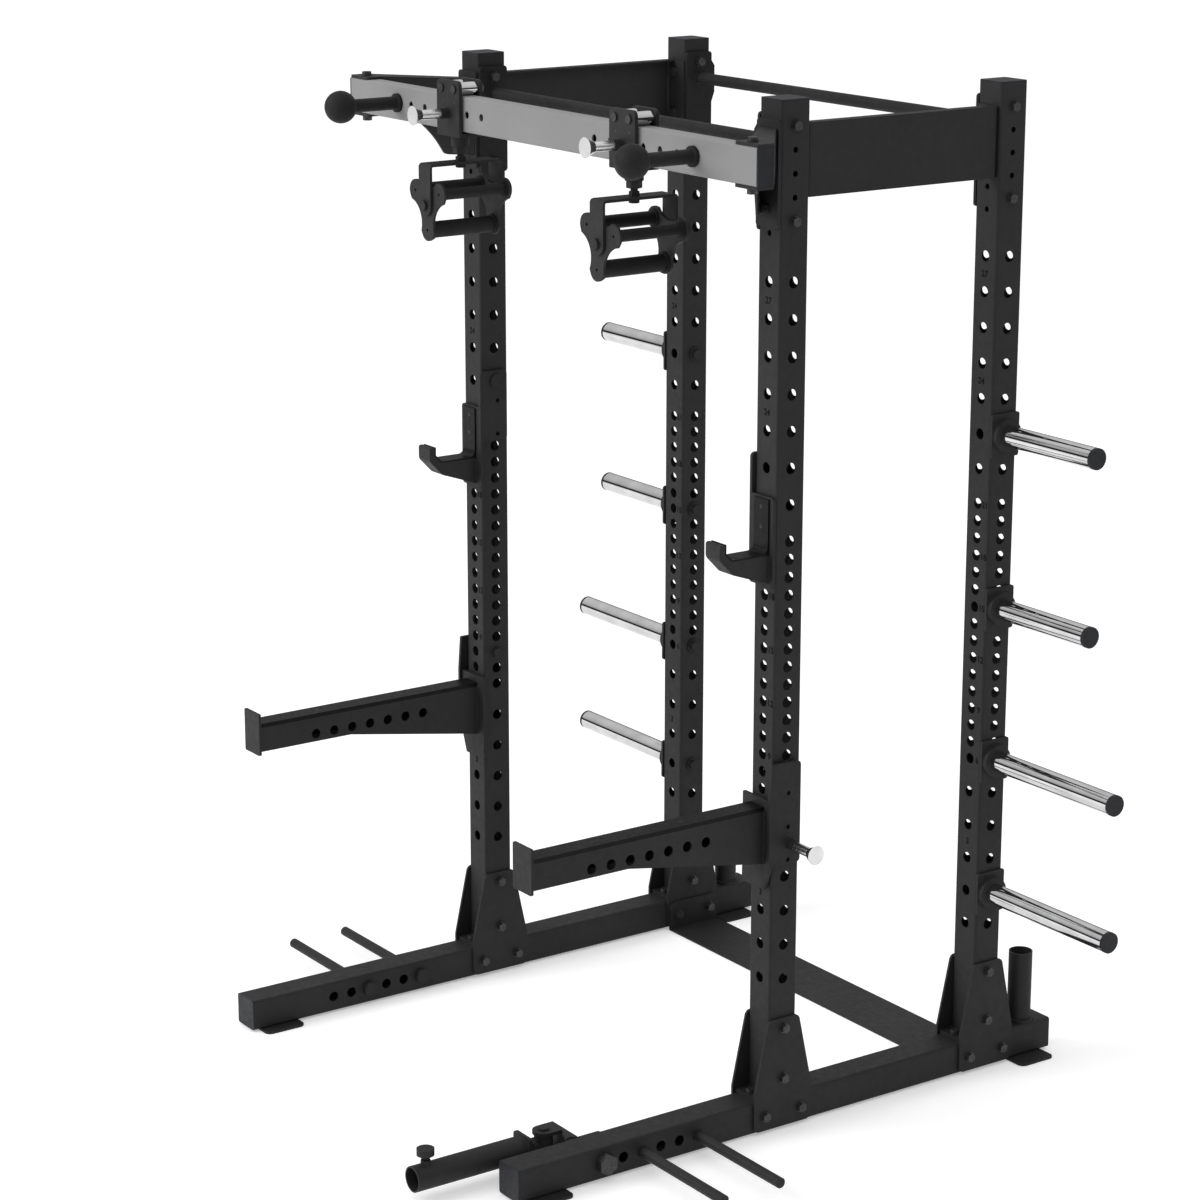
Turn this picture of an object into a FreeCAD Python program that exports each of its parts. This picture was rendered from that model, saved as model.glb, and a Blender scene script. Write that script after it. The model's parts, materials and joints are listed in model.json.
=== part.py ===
import FreeCAD, Part
import Sketcher
import math
import os
import re
from FreeCAD import Rotation, Vector

# Half rack. Millimetres, +Z up, the floor at Z = 0. X runs across the rack, Y runs from the
# user's side (negative) to the back (positive), and the origin is midway between the uprights.

doc = FreeCAD.newDocument("HalfRack")
sheet = doc.addObject("Spreadsheet::Sheet", "Sizes")

# Driving dimensions: a word for the cell, its number, and what it is.
SIZES = [
    # Uprights
    ("post_spacing_x", 1162, "uprights, centre to centre across the rack"),
    ("post_spacing_y", 600, "uprights, centre to centre front to back"),
    ("post_side", 75, "side of the square uprights"),
    ("post_wall", 3, "wall of the uprights"),
    ("post_round", 6, "corner radius of the uprights"),
    ("post_top", 2300, "top of the upright tubes above the floor"),
    ("post_foot_length", 146, "length of the plate under each upright"),
    ("post_foot_thick", 8, "thickness of the plate under each upright"),
    ("post_foot_bolt", 57, "bolts of that plate from the upright's centre"),
    ("hole_size", 25, "numbered holes"),
    ("hole_first", 360.5, "height of hole 1"),
    ("wide_pitch", 80, "pitch of the low and the high holes"),
    ("close_pitch", 40, "pitch of the holes in the bench zone"),
    ("wide_gaps", 5, "gaps at the wide pitch below the close ones"),
    ("close_gaps", 15, "gaps at the close pitch"),
    ("high_gaps", 7, "gaps at the wide pitch above the close ones"),
    ("bolt_hole", 13, "holes for the frame bolts"),
    ("top_hole_drop", 251, "lowest of the small holes in the side faces, below the tops of the tubes"),
    ("top_hole_step", 25, "lowest of the small holes in the front faces, below that"),
    ("top_hole_pitch", 50, "pitch of the small holes"),
    ("top_hole_count", 5, "small holes in a row"),
    ("cap_thick", 4.5, "head of the plastic caps"),
    ("cap_plug", 16, "depth of the caps in their tubes"),
    ("cap_gap", 0.3, "clearance of the caps in their tubes"),
    # Floor rails
    ("rail_side", 75, "side of the square floor rails"),
    ("rail_front", 1006, "front end of the rails from the middle"),
    ("rail_rear", 504.5, "rear end of the rails from the middle"),
    ("foot_thick", 5, "plates that stand on the floor"),
    ("foot_round", 15, "corner radius of the floor plates"),
    ("front_foot_near", 880, "front floor plate, inner edge from the middle"),
    ("front_foot_far", 985, "front floor plate, outer edge from the middle"),
    ("front_foot_width", 140, "width of the front floor plates"),
    ("rear_foot_near", 378, "rear floor plate, inner edge from the middle"),
    ("rear_foot_far", 480, "rear floor plate, outer edge from the middle"),
    ("rear_foot_width", 174, "width of the rear floor plates"),
    ("band_hole_first", 532, "first band hole of the rails from the middle"),
    ("band_hole_pitch", 50, "pitch of the band holes"),
    ("band_hole_gaps", 5, "gaps between the band holes"),
    # Gusset plates
    ("gusset_thick", 6, "gusset plates"),
    ("gusset_rise", 188.5, "top edge of the gusset plates above the rails"),
    ("gusset_top_width", 84, "width of the gusset plates at the top"),
    ("gusset_shoulder", 15.5, "full width of the gusset plates, up to this above the rails"),
    ("gusset_width", 160, "full width of the gusset plates"),
    ("gusset_floor_gap", 3.5, "bottom edge of the gusset plates above the rails' undersides"),
    ("gusset_round", 14, "corner radius of the gusset plates"),
    ("gusset_bolt_high", 164.5, "upper bolt through the upright above the rails"),
    ("gusset_bolt_low", 44.5, "lower bolt through the upright above the rails"),
    ("gusset_bolt_spread", 100, "spacing of the bolts through the rail"),
    # Rear floor crossmember
    ("cross_width", 150, "width of the rear floor strip"),
    ("cross_thick", 5, "thickness of the rear floor strip"),
    ("cross_flange", 6, "thickness of its upturned ends"),
    ("cross_top", 76, "top of its upturned ends"),
    # Fasteners
    ("bolt_size", 12, "frame bolts"),
    ("bolt_across", 19, "hexagon of the frame bolts, across flats"),
    ("bolt_head", 7.5, "height of the hexagon heads"),
    ("nut_tall", 10, "height of the nuts"),
    ("washer_size", 24, "washers"),
    ("washer_thick", 2.5, "thickness of the washers"),
    ("bolt_grip", 12, "how far the shorter bolts reach into their tubes"),
    # Side beams
    ("side_tall", 156, "height of the side beams"),
    ("side_face", 30, "outer face of the side beams from the upright's centre"),
    ("side_lip", 28, "width of their top and bottom lips"),
    ("side_sheet", 4, "sheet of the side beams"),
    ("side_bend", 9, "bend radius of the side beams"),
    # Pull-up bars
    ("pull_bar_size", 28, "pull-up bars"),
    ("pull_bar_drop", 39, "centre of the pull-up bars below the upper end bolts"),
    ("pull_plate_thick", 8, "end plates of the pull-up bars"),
    ("pull_plate_margin", 24, "end plates beyond their bolts"),
    ("pull_plate_round", 8, "corner radius of the end plates"),
    ("pull_ear", 9, "how far the end plates stand out beyond the upright"),
    ("pull_ear_below", 36, "the ear below the bar at full width"),
    ("pull_ear_slope", 25, "height of the ear's slope"),
    ("pull_ear_above", 28, "the ear above the bar"),
    # Front beam
    ("beam_y", 516, "centre of the front beam from the middle"),
    ("beam_deep", 40, "depth of the front beam"),
    ("beam_tall", 80, "height of the front beam"),
    ("beam_wall", 3, "wall of the front beam"),
    ("beam_half", 798, "half the length of the front beam over its caps"),
    ("beam_round", 4, "corner radius of the front beam"),
    ("beam_hole", 17, "row of holes in the front face"),
    ("beam_hole_first", 223, "first of these holes from the middle"),
    ("beam_hole_pitch", 60, "pitch of these holes"),
    ("beam_hole_count", 6, "these holes on each side"),
    # Beam arms
    ("arm_plate_margin", 38, "bracket plates beyond their lowest and highest bolts"),
    ("arm_plate_thick", 8, "thickness of the bracket plates"),
    ("arm_pad_margin", 9, "margin of the arms' weld pads on the bracket plates"),
    ("arm_pad_thick", 5, "thickness of the weld pads"),
    ("arm_width", 56, "width of the arms across the rack"),
    ("arm_web", 5, "webs of the arms"),
    ("arm_gusset_drop", 93, "how far the inner webs reach down below the beam"),
    ("arm_gusset_foot", 47, "width of these gussets at their lowest"),
    ("arm_gusset_bend", 64.5, "width of the gussets at the hollow of their slope"),
    ("arm_gusset_bend_drop", 51, "that hollow below the beam"),
    ("arm_gusset_reach", 101, "width of the slope at the underside of the beam"),
    ("arm_gusset_round", 200, "radius of the hollow slope"),
    ("arm_hold", 80, "length of the beam that the arms' tabs hold"),
    ("tab_thick", 6, "tabs above and below the beam"),
    ("tab_gap", 0.3, "clearance between the tabs and the beam"),
    ("tab_bolt_in", 43.5, "bolt through the tabs from the end of the beam"),
    ("tab_round", 8, "corner radius of the tabs"),
    # Globe grips
    ("globe_size", 75, "ball of the globe grips"),
    ("globe_y", 690, "centre of the balls from the middle"),
    ("globe_shaft", 31, "shaft of the globe grips"),
    ("globe_flange", 44, "flange of the globe grips"),
    ("globe_flange_thick", 7, "thickness of that flange"),
    # Band pegs
    ("band_peg_size", 24, "band pegs"),
    ("band_peg_tip", 917, "tips of the band pegs from the middle"),
    ("band_peg_gap", 0.25, "clearance of the band pegs in the rails"),
    ("band_knob", 34, "inner ends of the band pegs"),
    ("band_knob_thick", 12, "thickness of the inner ends"),
    # Storage pegs
    ("peg_sleeve", 48.5, "storage sleeves"),
    ("peg_sleeve_wall", 3, "wall of the storage sleeves"),
    ("peg_tip_high", 924, "tips of the two upper pegs from the middle"),
    ("peg_tip_low", 1024, "tips of the two lower pegs from the middle"),
    ("peg_cap", 8, "plastic ends of the sleeves"),
    ("peg_plate_width", 80, "width of the plates behind the pegs"),
    ("peg_plate_tall", 100, "height of the plates behind the pegs"),
    ("peg_plate_thick", 6, "thickness of the plates behind the pegs"),
    ("peg_collar", 75, "collars of the pegs"),
    ("peg_collar_thick", 12, "thickness of the collars"),
    ("peg_bolt", 20, "bolts of the pegs"),
    ("peg_washer", 37, "washers of the peg bolts"),
    ("peg_washer_thick", 4, "thickness of these washers"),
    ("peg_across", 22, "hexagon of the peg bolts, across flats"),
    ("peg_head", 10, "height of that hexagon"),
    # Bar holders
    ("holder_size", 56, "bar holder tubes"),
    ("holder_wall", 3, "wall of the bar holders"),
    ("holder_tall", 172, "height of the bar holders"),
    ("holder_y", 440, "bar holders from the middle"),
    ("holder_ring", 70, "base rings of the bar holders"),
    ("holder_ring_thick", 6, "thickness of the base rings"),
    # Carriages
    ("carriage_hole", 2, "hole of the carriages in the beam, counted from its first hole"),
    ("carriage_width", 94, "front plates of the carriages"),
    ("carriage_back_width", 90, "back plates of the carriages"),
    ("carriage_below", 12.5, "carriage plates below the beam"),
    ("carriage_above", 34.5, "carriage plates above the beam"),
    ("carriage_plate", 8, "thickness of the carriage plates"),
    ("carriage_gap", 4, "gap between the beam and the carriage plates"),
    ("carriage_round", 12, "corner radius of the carriage plates"),
    ("roller_size", 30, "carriage rollers"),
    ("roller_offset", 26, "rollers from the middle of the carriage"),
    ("running_gap", 0.4, "clearance of what turns or slides"),
    ("axle_size", 12, "roller axles"),
    ("axle_head", 19, "heads of the roller axles"),
    ("axle_head_thick", 4, "thickness of these heads"),
    ("guide_hole", 7, "small holes in the front plates"),
    ("guide_hole_rise", 26.5, "these holes above the beam's centre"),
    ("guide_hole_offset", 24.6, "these holes from the middle of the carriage"),
    # Pull pins
    ("pin_size", 16, "noses of the carriage pins"),
    ("pin_barrel", 24, "barrels of the pull pins"),
    ("pin_barrel_long", 24, "length of the barrels"),
    ("pin_stem", 22, "chrome stems of the pull pins"),
    ("pin_stem_long", 50, "length of the stems"),
    ("pin_knob", 44, "handles of the pull pins"),
    ("pin_knob_waist", 26, "narrow end of the handles"),
    ("pin_knob_long", 20, "length of the handles"),
    ("pin_nose_gap", 0.5, "how far the noses end short of their holes"),
    # Hangers
    ("swivel_size", 16, "swivel bolts"),
    ("swivel_across", 20, "hexagon of the swivel bolts, across flats"),
    ("swivel_head", 4, "height of the swivel bolts' heads"),
    ("hub_size", 41, "hubs under the carriages"),
    ("hub_tall", 25, "height of the hubs"),
    ("hub_nut", 30, "nuts under the hubs, across flats"),
    ("hub_nut_tall", 16, "height of these nuts"),
    ("swivel_relief", 22, "hole of the hubs round the swivel bolts"),
    ("swivel_head_size", 26, "heads of the swivel bolts"),
    ("swivel_nut", 10, "nuts above the straps"),
    ("swivel_end", 9, "nuts below the straps"),
    ("strap_drop", 58, "top of the hanger straps below the carriage plates"),
    ("strap_width", 49, "width of the hanger straps"),
    ("strap_long", 195, "length of the hanger straps over their legs"),
    ("strap_thick", 6, "thickness of the hanger straps"),
    ("strap_bend", 9, "outer bend radius of the straps"),
    ("rotor_drop", 94, "pivots of the grips below the straps' tops"),
    ("pivot_head", 24, "heads of the pivot bolts"),
    ("pivot_head_thick", 7, "thickness of these heads"),
    ("rotor_gap", 0.6, "clearance between the lobed plates and the straps"),
    ("rotor_pivot", 16, "pivot bolts of the grips"),
    ("rotor_plate", 6, "thickness of the lobed plates"),
    ("rotor_reach", 57.5, "lobes from the pivot"),
    ("rotor_lobe", 50, "lobes of the plates"),
    ("rotor_waist", 36, "hollow sides of the lobed plates from the pivot"),
    ("rotor_turn_left", 0, "turn of the left grips, degrees"),
    ("rotor_turn_right", -8, "turn of the right grips, degrees"),
    ("grip_thin", 26, "thin grips"),
    ("grip_mid", 30, "middle grips"),
    ("grip_thick", 38, "thick grips"),
    ("grip_collar", 8, "how much wider the grips' collars are"),
    ("grip_collar_thick", 5, "thickness of the collars"),
    # J-cups, their heights measured down from the fixed pin
    ("cup_plate_low", 258, "bottom of the front plates"),
    ("cup_plate_high", 60, "top of the front plates"),
    ("cup_side_low", 145, "bottom of the side plates"),
    ("cup_side_rise", 27, "top of the side plates above the pin"),
    ("cup_side_rear", 30, "rear edge of the side plates behind the pin"),
    ("cup_side_thick", 8, "side plates"),
    ("cup_front_thick", 8, "front plates"),
    ("cup_liner", 4, "plastic liners"),
    ("cup_liner_top", 65, "top of the liners"),
    ("cup_gap", 0.5, "clearance between the cups and the uprights"),
    ("cup_round", 10, "corner radius of the plates"),
    ("cup_hook_width", 50, "width of the hooks"),
    ("cup_hook_reach", 128, "lip of the hooks in front of the front plates"),
    ("cup_hook_low", 250, "underside of the hooks at the front plates"),
    ("cup_hook_floor", 187, "bottom of the hooks' hollows"),
    ("cup_lip_high", 147, "top of the hooks' lips"),
    ("cup_lip_thick", 14, "thickness of the lips"),
    ("cup_hollow_round", 16, "bend radius in the hooks' hollows"),
    ("cup_hook_toe", 18, "slope from the hollow's floor to the lip"),
    ("cup_lip_low", 180, "front edge of the lips"),
    ("cup_hook_step", 36, "slope under the lips"),
    ("cup_hook_bend", 217, "height of that slope"),
    ("cup_lip_round", 5, "rounding of the lips"),
    ("cup_pin_size", 24.2, "fixed pins of the cups and the spotter arms"),
    ("cup_pin_long", 62, "length of the cups' pins"),
    ("cup_pin_disc", 36, "weld discs of the fixed pins"),
    ("cup_pin_disc_thick", 4, "thickness of the weld discs"),
    ("side_hole", 11, "small holes in the side plates"),
    ("side_hole_back", 3, "these holes behind the pin on the cups"),
    ("cup_hole_high", 47, "upper small hole of the cups"),
    ("cup_hole_low", 129, "lower small hole of the cups"),
    # Spotter arms, their heights measured down from the fixed pin
    ("spot_front_gap", 4.5, "gap between the front plates and the uprights"),
    ("spot_front_thick", 8, "front plates"),
    ("spot_front_low", 264, "bottom of the front plates"),
    ("spot_front_high", 56, "top of the front plates"),
    ("spot_side_gap", 7, "gap between the side plates and the uprights"),
    ("spot_side_thick", 8, "side plates"),
    ("spot_side_rear", 29, "rear edge of the side plates behind the pin"),
    ("spot_outer_low", 206, "bottom of the outer side plates"),
    ("spot_outer_rise", 28, "top of the outer side plates above the pin"),
    ("spot_outer_front", 6, "outer side plates in front of the front plates"),
    ("spot_inner_low", 199, "bottom of the inner side plates"),
    ("spot_inner_high", 50, "top of the inner side plates"),
    ("spot_slope", 26, "chamfers of the side plates"),
    ("spot_pin_out", 10, "fixed pins beyond the uprights' inner faces"),
    ("spot_round", 10, "corner radius of the plates"),
    ("spot_width", 50, "width of the arms"),
    ("spot_tip", 967, "tips of the arms from the middle"),
    ("spot_top", 83, "top of the arms"),
    ("spot_low", 142.4, "bottom of the arms"),
    ("spot_root", 205, "bottom of the arms at the front plates"),
    ("spot_knee", 712, "knee of the arms from the middle"),
    ("spot_wall", 4, "wall of the arms"),
    ("spot_hole", 24, "holes in the arms"),
    ("spot_hole_first", 507, "first of these holes from the middle"),
    ("spot_hole_pitch", 50, "pitch of these holes"),
    ("spot_hole_count", 7, "these holes in a row"),
    ("spot_hole_drop", 123.5, "height of these holes"),
    ("spot_hole_high", 42, "upper small hole of the outer plates"),
    ("spot_hole_mid", 120, "middle small hole of the outer plates"),
    ("spot_hole_upper", 102, "upper small hole of the inner plates"),
    ("spot_hole_low", 196, "lower small holes"),
    ("spot_side_hole", 4, "small holes in front of the pin"),
    ("spot_strip", 10, "plastic strips on the arms"),
    ("spot_end_width", 70, "width of the end plates"),
    ("spot_end_thick", 6, "end plates"),
    ("spot_end_round", 4, "corner radius of the end plates"),
    ("spot_end_low", 149, "bottom of the end plates"),
    ("spot_end_high", 46, "top of the end plates"),
    # Landmine
    ("mine_axis", 50, "landmine tube above the floor"),
    ("mine_x", 468, "upright pin of the landmine from the middle, across"),
    ("mine_y", 841, "upright pin of the landmine from the middle"),
    ("mine_base_width", 92, "base plate on the rail"),
    ("mine_base_tall", 68, "height of the base plate"),
    ("mine_plate", 8, "thickness of the bracket's plates"),
    ("mine_web_rear", 800, "rear face of the bracket's web from the middle"),
    ("mine_web", 10, "thickness of the web"),
    ("mine_web_gusset", 16, "gusset between the web and the base plate"),
    ("mine_ear_width", 50, "width of the bracket's ears"),
    ("mine_ear_gap", 44, "gap between the ears"),
    ("mine_pin", 16, "pins of the landmine"),
    ("mine_pin_head", 24, "heads of the pins"),
    ("mine_pin_head_thick", 5, "thickness of these heads"),
    ("mine_block", 42, "round body of the universal block"),
    ("mine_tongue", 20, "thickness of the block's tongue"),
    ("mine_pitch_pin", 32, "level pin in front of the upright pin"),
    ("mine_knuckle", 26, "height of the tongue and the fork at the level pin"),
    ("mine_fork", 8, "thickness of the fork's plates"),
    ("mine_flange_gap", 18, "tube flange in front of the level pin"),
    ("mine_flange", 64, "tube flange"),
    ("mine_flange_thick", 8, "thickness of the tube flange"),
    ("mine_tube", 58, "landmine tube"),
    ("mine_tube_wall", 3.5, "wall of the tube"),
    ("mine_tube_end", 1178, "open end of the tube from the middle"),
    ("mine_screw_back", 34, "clamp screw behind the open end"),
    ("mine_screw", 10, "clamp screw"),
    ("mine_boss", 22, "boss of the clamp screw"),
    ("mine_boss_tall", 8, "height of that boss"),
    ("mine_screw_stem", 12, "clamp screw between its boss and its knob"),
    ("mine_knob", 39, "knob of the clamp screw"),
    ("mine_knob_thick", 15, "thickness of that knob"),
    ("mine_hex", 42, "hexagon knob of the landmine bolt, across flats"),
    ("mine_hex_thick", 18, "thickness of that knob"),
]

for row, (word, number, note) in enumerate(SIZES, 1):
    sheet.set(f"A{row}", note)
    sheet.set(f"B{row}", str(number))
    sheet.setAlias(f"B{row}", word)
doc.recompute()

size = {word: number for word, number, note in SIZES}
WORD = re.compile(r"[a-z][a-z_]*")
AXES = {
    "x": (Rotation(Vector(0, 1, 0), 90), 0),
    "y": (Rotation(Vector(1, 0, 0), -90), 1),
    "z": (Rotation(), 2),
}
PLANES = {"x": "YZ_Plane", "y": "XZ_Plane", "z": "XY_Plane"}
LEFT_OVER = {"x": ("y", "z"), "y": ("x", "z"), "z": ("x", "y")}
MIDDLE = "(mine_tube_end - rail_rear) / 2"
subparts = []


def cells(text):
    """An expression whose words are cells of the sheet."""
    return WORD.sub(lambda found: f"Sizes.{found[0]}" if found[0] in size else found[0], text)


def bind(thing, **settings):
    for name, text in settings.items():
        thing.setExpression(name.replace("__", "."), cells(text))


def at(thing, axis, text):
    thing.setExpression(f"Placement.Base.{axis}", cells(text))


def box(name, x, y, z):
    """A block between a low and a high plane on each axis."""
    thing = doc.addObject("Part::Box", name)
    for axis, side, (low, high) in zip("xyz", ("Length", "Width", "Height"), (x, y, z)):
        bind(thing, **{side: f"({high}) - ({low})"})
        at(thing, axis, low)
    return thing


def along(thing, axis, low, places):
    """Turns a piece from Z to an axis and puts it at its start and its two other places."""
    thing.Placement = FreeCAD.Placement(Vector(), AXES[axis][0])
    at(thing, axis, low)
    for other, place in zip(LEFT_OVER[axis], places):
        at(thing, other, place)
    return thing


def rod(name, diameter, axis, low, high, places):
    thing = doc.addObject("Part::Cylinder", name)
    bind(thing, Radius=f"({diameter}) / 2", Height=f"({high}) - ({low})")
    return along(thing, axis, low, places)


def taper(name, low_size, high_size, axis, low, high, places):
    thing = doc.addObject("Part::Cone", name)
    bind(thing, Radius1=f"({low_size}) / 2", Radius2=f"({high_size}) / 2", Height=f"({high}) - ({low})")
    return along(thing, axis, low, places)


def hexagon(name, across, axis, low, high, places):
    thing = doc.addObject("Part::Prism", name)
    thing.Polygon = 6
    bind(thing, Circumradius=f"({across}) / sqrt(3)", Height=f"({high}) - ({low})")
    return along(thing, axis, low, places)


def ball(name, diameter, places):
    thing = doc.addObject("Part::Sphere", name)
    bind(thing, Radius=f"({diameter}) / 2")
    for axis, place in zip("xyz", places):
        at(thing, axis, place)
    return thing


def fuse(name, things):
    joined = doc.addObject("Part::MultiFuse", name)
    joined.Shapes = things
    joined.Refine = True
    return joined


def cut(name, base, tools):
    tool = tools[0]
    if len(tools) > 1:
        tool = fuse(name + "Tools", tools)
    less = doc.addObject("Part::Cut", name)
    less.Base = base
    less.Tool = tool
    return less


def group(name, things):
    """Separate solids that share a name."""
    together = doc.addObject("Part::Compound", name)
    together.Links = things
    return together


def mirrored(name, source, normal=Vector(1, 0, 0)):
    other = doc.addObject("Part::Mirroring", name)
    other.Source = source
    other.Normal = normal
    return other


def subpart(label, thing):
    """A named piece, moved along Y so that the whole rack is centred about its origin."""
    placed = group(label.title().replace("_", "") + "Placed", [thing])
    placed.Label = label
    at(placed, "y", MIDDLE)
    subparts.append(placed)


def new_sketch(body, axis, name):
    sketch = body.newObject("Sketcher::SketchObject", name)
    plane = next(part for part in body.Origin.OriginFeatures if part.Role == PLANES[axis])
    sketch.AttachmentSupport = (plane, [""])
    sketch.MapMode = "FlatFace"
    return sketch


def fix(sketch, element, point, places):
    """Holds a point of a sketch at its two places."""
    for kind, place in zip(("DistanceX", "DistanceY"), places):
        index = sketch.addConstraint(Sketcher.Constraint(kind, -1, 1, element, point, 1.0))
        sketch.setExpression(f"Constraints[{index}]", cells(place))


def outline(sketch, corners):
    """A closed outline of straight edges through the corners."""
    count = len(corners)
    spots = [Vector(math.cos(2 * math.pi * i / count), math.sin(2 * math.pi * i / count), 0)
             for i in range(count)]
    for i in range(count):
        sketch.addGeometry(Part.LineSegment(spots[i], spots[(i + 1) % count]), False)
    for i in range(count):
        sketch.addConstraint(Sketcher.Constraint("Coincident", i, 2, (i + 1) % count, 1))
    for i, places in enumerate(corners):
        fix(sketch, i, 1, places)


def circle(sketch, places, diameter):
    index = sketch.addGeometry(Part.Circle(Vector(), Vector(0, 0, 1), 1), False)
    fix(sketch, index, 3, places)
    width = sketch.addConstraint(Sketcher.Constraint("Diameter", index, 1.0))
    sketch.setExpression(f"Constraints[{width}]", cells(diameter))


def round_corners(body, solid, sketch, axis, rounds, name):
    """Rounds the edges that stand on the given corners of the outline."""
    first, second = (AXES[other][1] for other in LEFT_OVER[axis])
    for turn, (corners, radius) in enumerate(rounds):
        spots = [sketch.Geometry[corner].StartPoint for corner in corners]
        edges = []
        for number, edge in enumerate(solid.Shape.Edges, 1):
            ends = [vertex.Point for vertex in edge.Vertexes]
            if len(ends) != 2 or abs((ends[1] - ends[0]).normalize()[AXES[axis][1]]) < 1 - TINY:
                continue
            if any(abs(ends[0][first] - spot.x) < TINY and abs(ends[0][second] - spot.y) < TINY
                   for spot in spots):
                edges.append(f"Edge{number}")
        rounded = body.newObject("PartDesign::Fillet", f"{name}Round{turn}")
        rounded.Base = (solid, edges)
        bind(rounded, Radius=radius)
        doc.recompute()
        solid = rounded
    return solid


def plate(name, axis, low, high, corners, rounds=(), holes=()):
    """A flat piece: an outline with holes, from a low to a high plane on its axis."""
    body = doc.addObject("PartDesign::Body", name)
    sketch = new_sketch(body, axis, name + "Outline")
    outline(sketch, corners)
    for first, second, diameter in holes:
        circle(sketch, (first, second), diameter)
    pad = body.newObject("PartDesign::Pad", name + "Pad")
    pad.Profile = sketch
    pad.Reversed = axis == "y"
    bind(pad, Length=f"({high}) - ({low})")
    at(body, axis, low)
    doc.recompute()
    round_corners(body, pad, sketch, axis, rounds, name)
    return body


def square(first_low, first_high, second_low, second_high):
    return [(first_low, second_low), (first_high, second_low),
            (first_high, second_high), (first_low, second_high)]


def bolt(name, axis, low, high, places):
    """A hexagon bolt that clamps from a low to a high face, its head at the high end."""
    nut_high = f"({low}) - washer_thick"
    nut_low = f"({nut_high}) - nut_tall"
    head_low = f"({high}) + washer_thick"
    head_high = f"({head_low}) + bolt_head"
    pieces = [
        rod(name + "Shank", "bolt_size", axis, nut_low, head_high, places),
        rod(name + "LowWasher", "washer_size", axis, nut_high, low, places),
        rod(name + "HighWasher", "washer_size", axis, high, head_low, places),
        hexagon(name + "Nut", "bolt_across", axis, nut_low, nut_high, places),
        hexagon(name + "Head", "bolt_across", axis, head_low, head_high, places),
    ]
    return fuse(name, pieces)


def stud(name, axis, face, depth, outward, places):
    """A hexagon bolt seen only at its head, its shank ending inside what it holds."""
    if outward > 0:
        spans = [(f"({face}) - ({depth})", face), (face, f"({face}) + washer_thick"),
                 (f"({face}) + washer_thick", f"({face}) + washer_thick + bolt_head")]
    else:
        spans = [(face, f"({face}) + ({depth})"), (f"({face}) - washer_thick", face),
                 (f"({face}) - washer_thick - bolt_head", f"({face}) - washer_thick")]
    pieces = [rod(name + "Shank", "bolt_size", axis, *spans[0], places),
              rod(name + "Washer", "washer_size", axis, *spans[1], places),
              hexagon(name + "Head", "bolt_across", axis, *spans[2], places)]
    return fuse(name, pieces)


def hole_height(number):
    """Height of a numbered hole: wide, then close, then wide pitches."""
    gaps = number - 1
    close = min(max(gaps - size["wide_gaps"], 0), size["close_gaps"])
    return f"(hole_first + {gaps - close} * wide_pitch + {close} * close_pitch)"


# Places that many pieces share.
TINY = 1e-4
SIDES = (("left", "-1"), ("right", "1"))
POST_X = "(post_spacing_x / 2)"
POST_Y = "(post_spacing_y / 2)"
HALF_POST = "(post_side / 2)"
INNER = f"({POST_X} - {HALF_POST})"
OUTER = f"({POST_X} + {HALF_POST})"
FRONT = f"({POST_Y} + {HALF_POST})"
BACK = f"({POST_Y} - {HALF_POST})"
RAIL_TOP = "(foot_thick + rail_side)"
RAIL_Z = "(foot_thick + rail_side / 2)"
RAIL_HALF = "(rail_side / 2)"
TOP_SIDE = "(post_top - top_hole_drop)"
TOP_FRONT = f"({TOP_SIDE} - top_hole_step)"
BEAM_Z = f"({TOP_SIDE} + 3 * top_hole_pitch)"
TAB_BOLT_X = "(beam_half - tab_bolt_in)"
HOLD_X = "(beam_half - arm_hold)"
BEAM_FRONT = "(beam_y + beam_deep / 2)"
BEAM_BACK = "(beam_y - beam_deep / 2)"
BEAM_TOP = f"({BEAM_Z} + beam_tall / 2)"
BEAM_BOTTOM = f"({BEAM_Z} - beam_tall / 2)"
CUP_HOLE = 23
SPOT_HINGE_HOLE = 8
SPOT_PIN_HOLE = 5
PEG_HOLES = ((23, "peg_tip_high"), (15, "peg_tip_high"), (6, "peg_tip_low"), (2, "peg_tip_low"))


def hole_row(body, name, axis, places, diameter, direction, pitch, count, reverse=False, midplane=True):
    """Holes through a tube, repeated along it."""
    sketch = new_sketch(body, axis, name + "Sketch")
    for spot in places:
        circle(sketch, spot, diameter)
    pocket = body.newObject("PartDesign::Pocket", name)
    pocket.Profile = sketch
    pocket.Type = "ThroughAll"
    pocket.Midplane = midplane
    pocket.Reversed = reverse
    if count is None:
        return
    row = body.newObject("PartDesign::LinearPattern", name + "Row")
    row.Originals = [pocket]
    row.Direction = (sketch, [direction])
    row.Mode = "Spacing"
    bind(row, Offset=pitch, Occurrences=count)
    body.Tip = row


def square_tube(name, axis, side, wall, corner, length):
    """A square tube that starts at its body's origin plane."""
    body = doc.addObject("PartDesign::Body", name)
    sketch = new_sketch(body, axis, name + "Square")
    outline(sketch, square(f"-{side} / 2", f"{side} / 2", f"-{side} / 2", f"{side} / 2"))
    pad = body.newObject("PartDesign::Pad", name + "Pad")
    pad.Profile = sketch
    pad.Reversed = axis == "y"
    bind(pad, Length=length)
    doc.recompute()
    round_corners(body, pad, sketch, axis, [((0, 1, 2, 3), corner)], name)
    bore = new_sketch(body, axis, name + "Bore")
    inside = f"({side} / 2 - {wall})"
    outline(bore, square(f"-{inside}", inside, f"-{inside}", inside))
    pocket = body.newObject("PartDesign::Pocket", name + "Hollow")
    pocket.Profile = bore
    pocket.Type = "ThroughAll"
    pocket.Midplane = True
    return body


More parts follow.
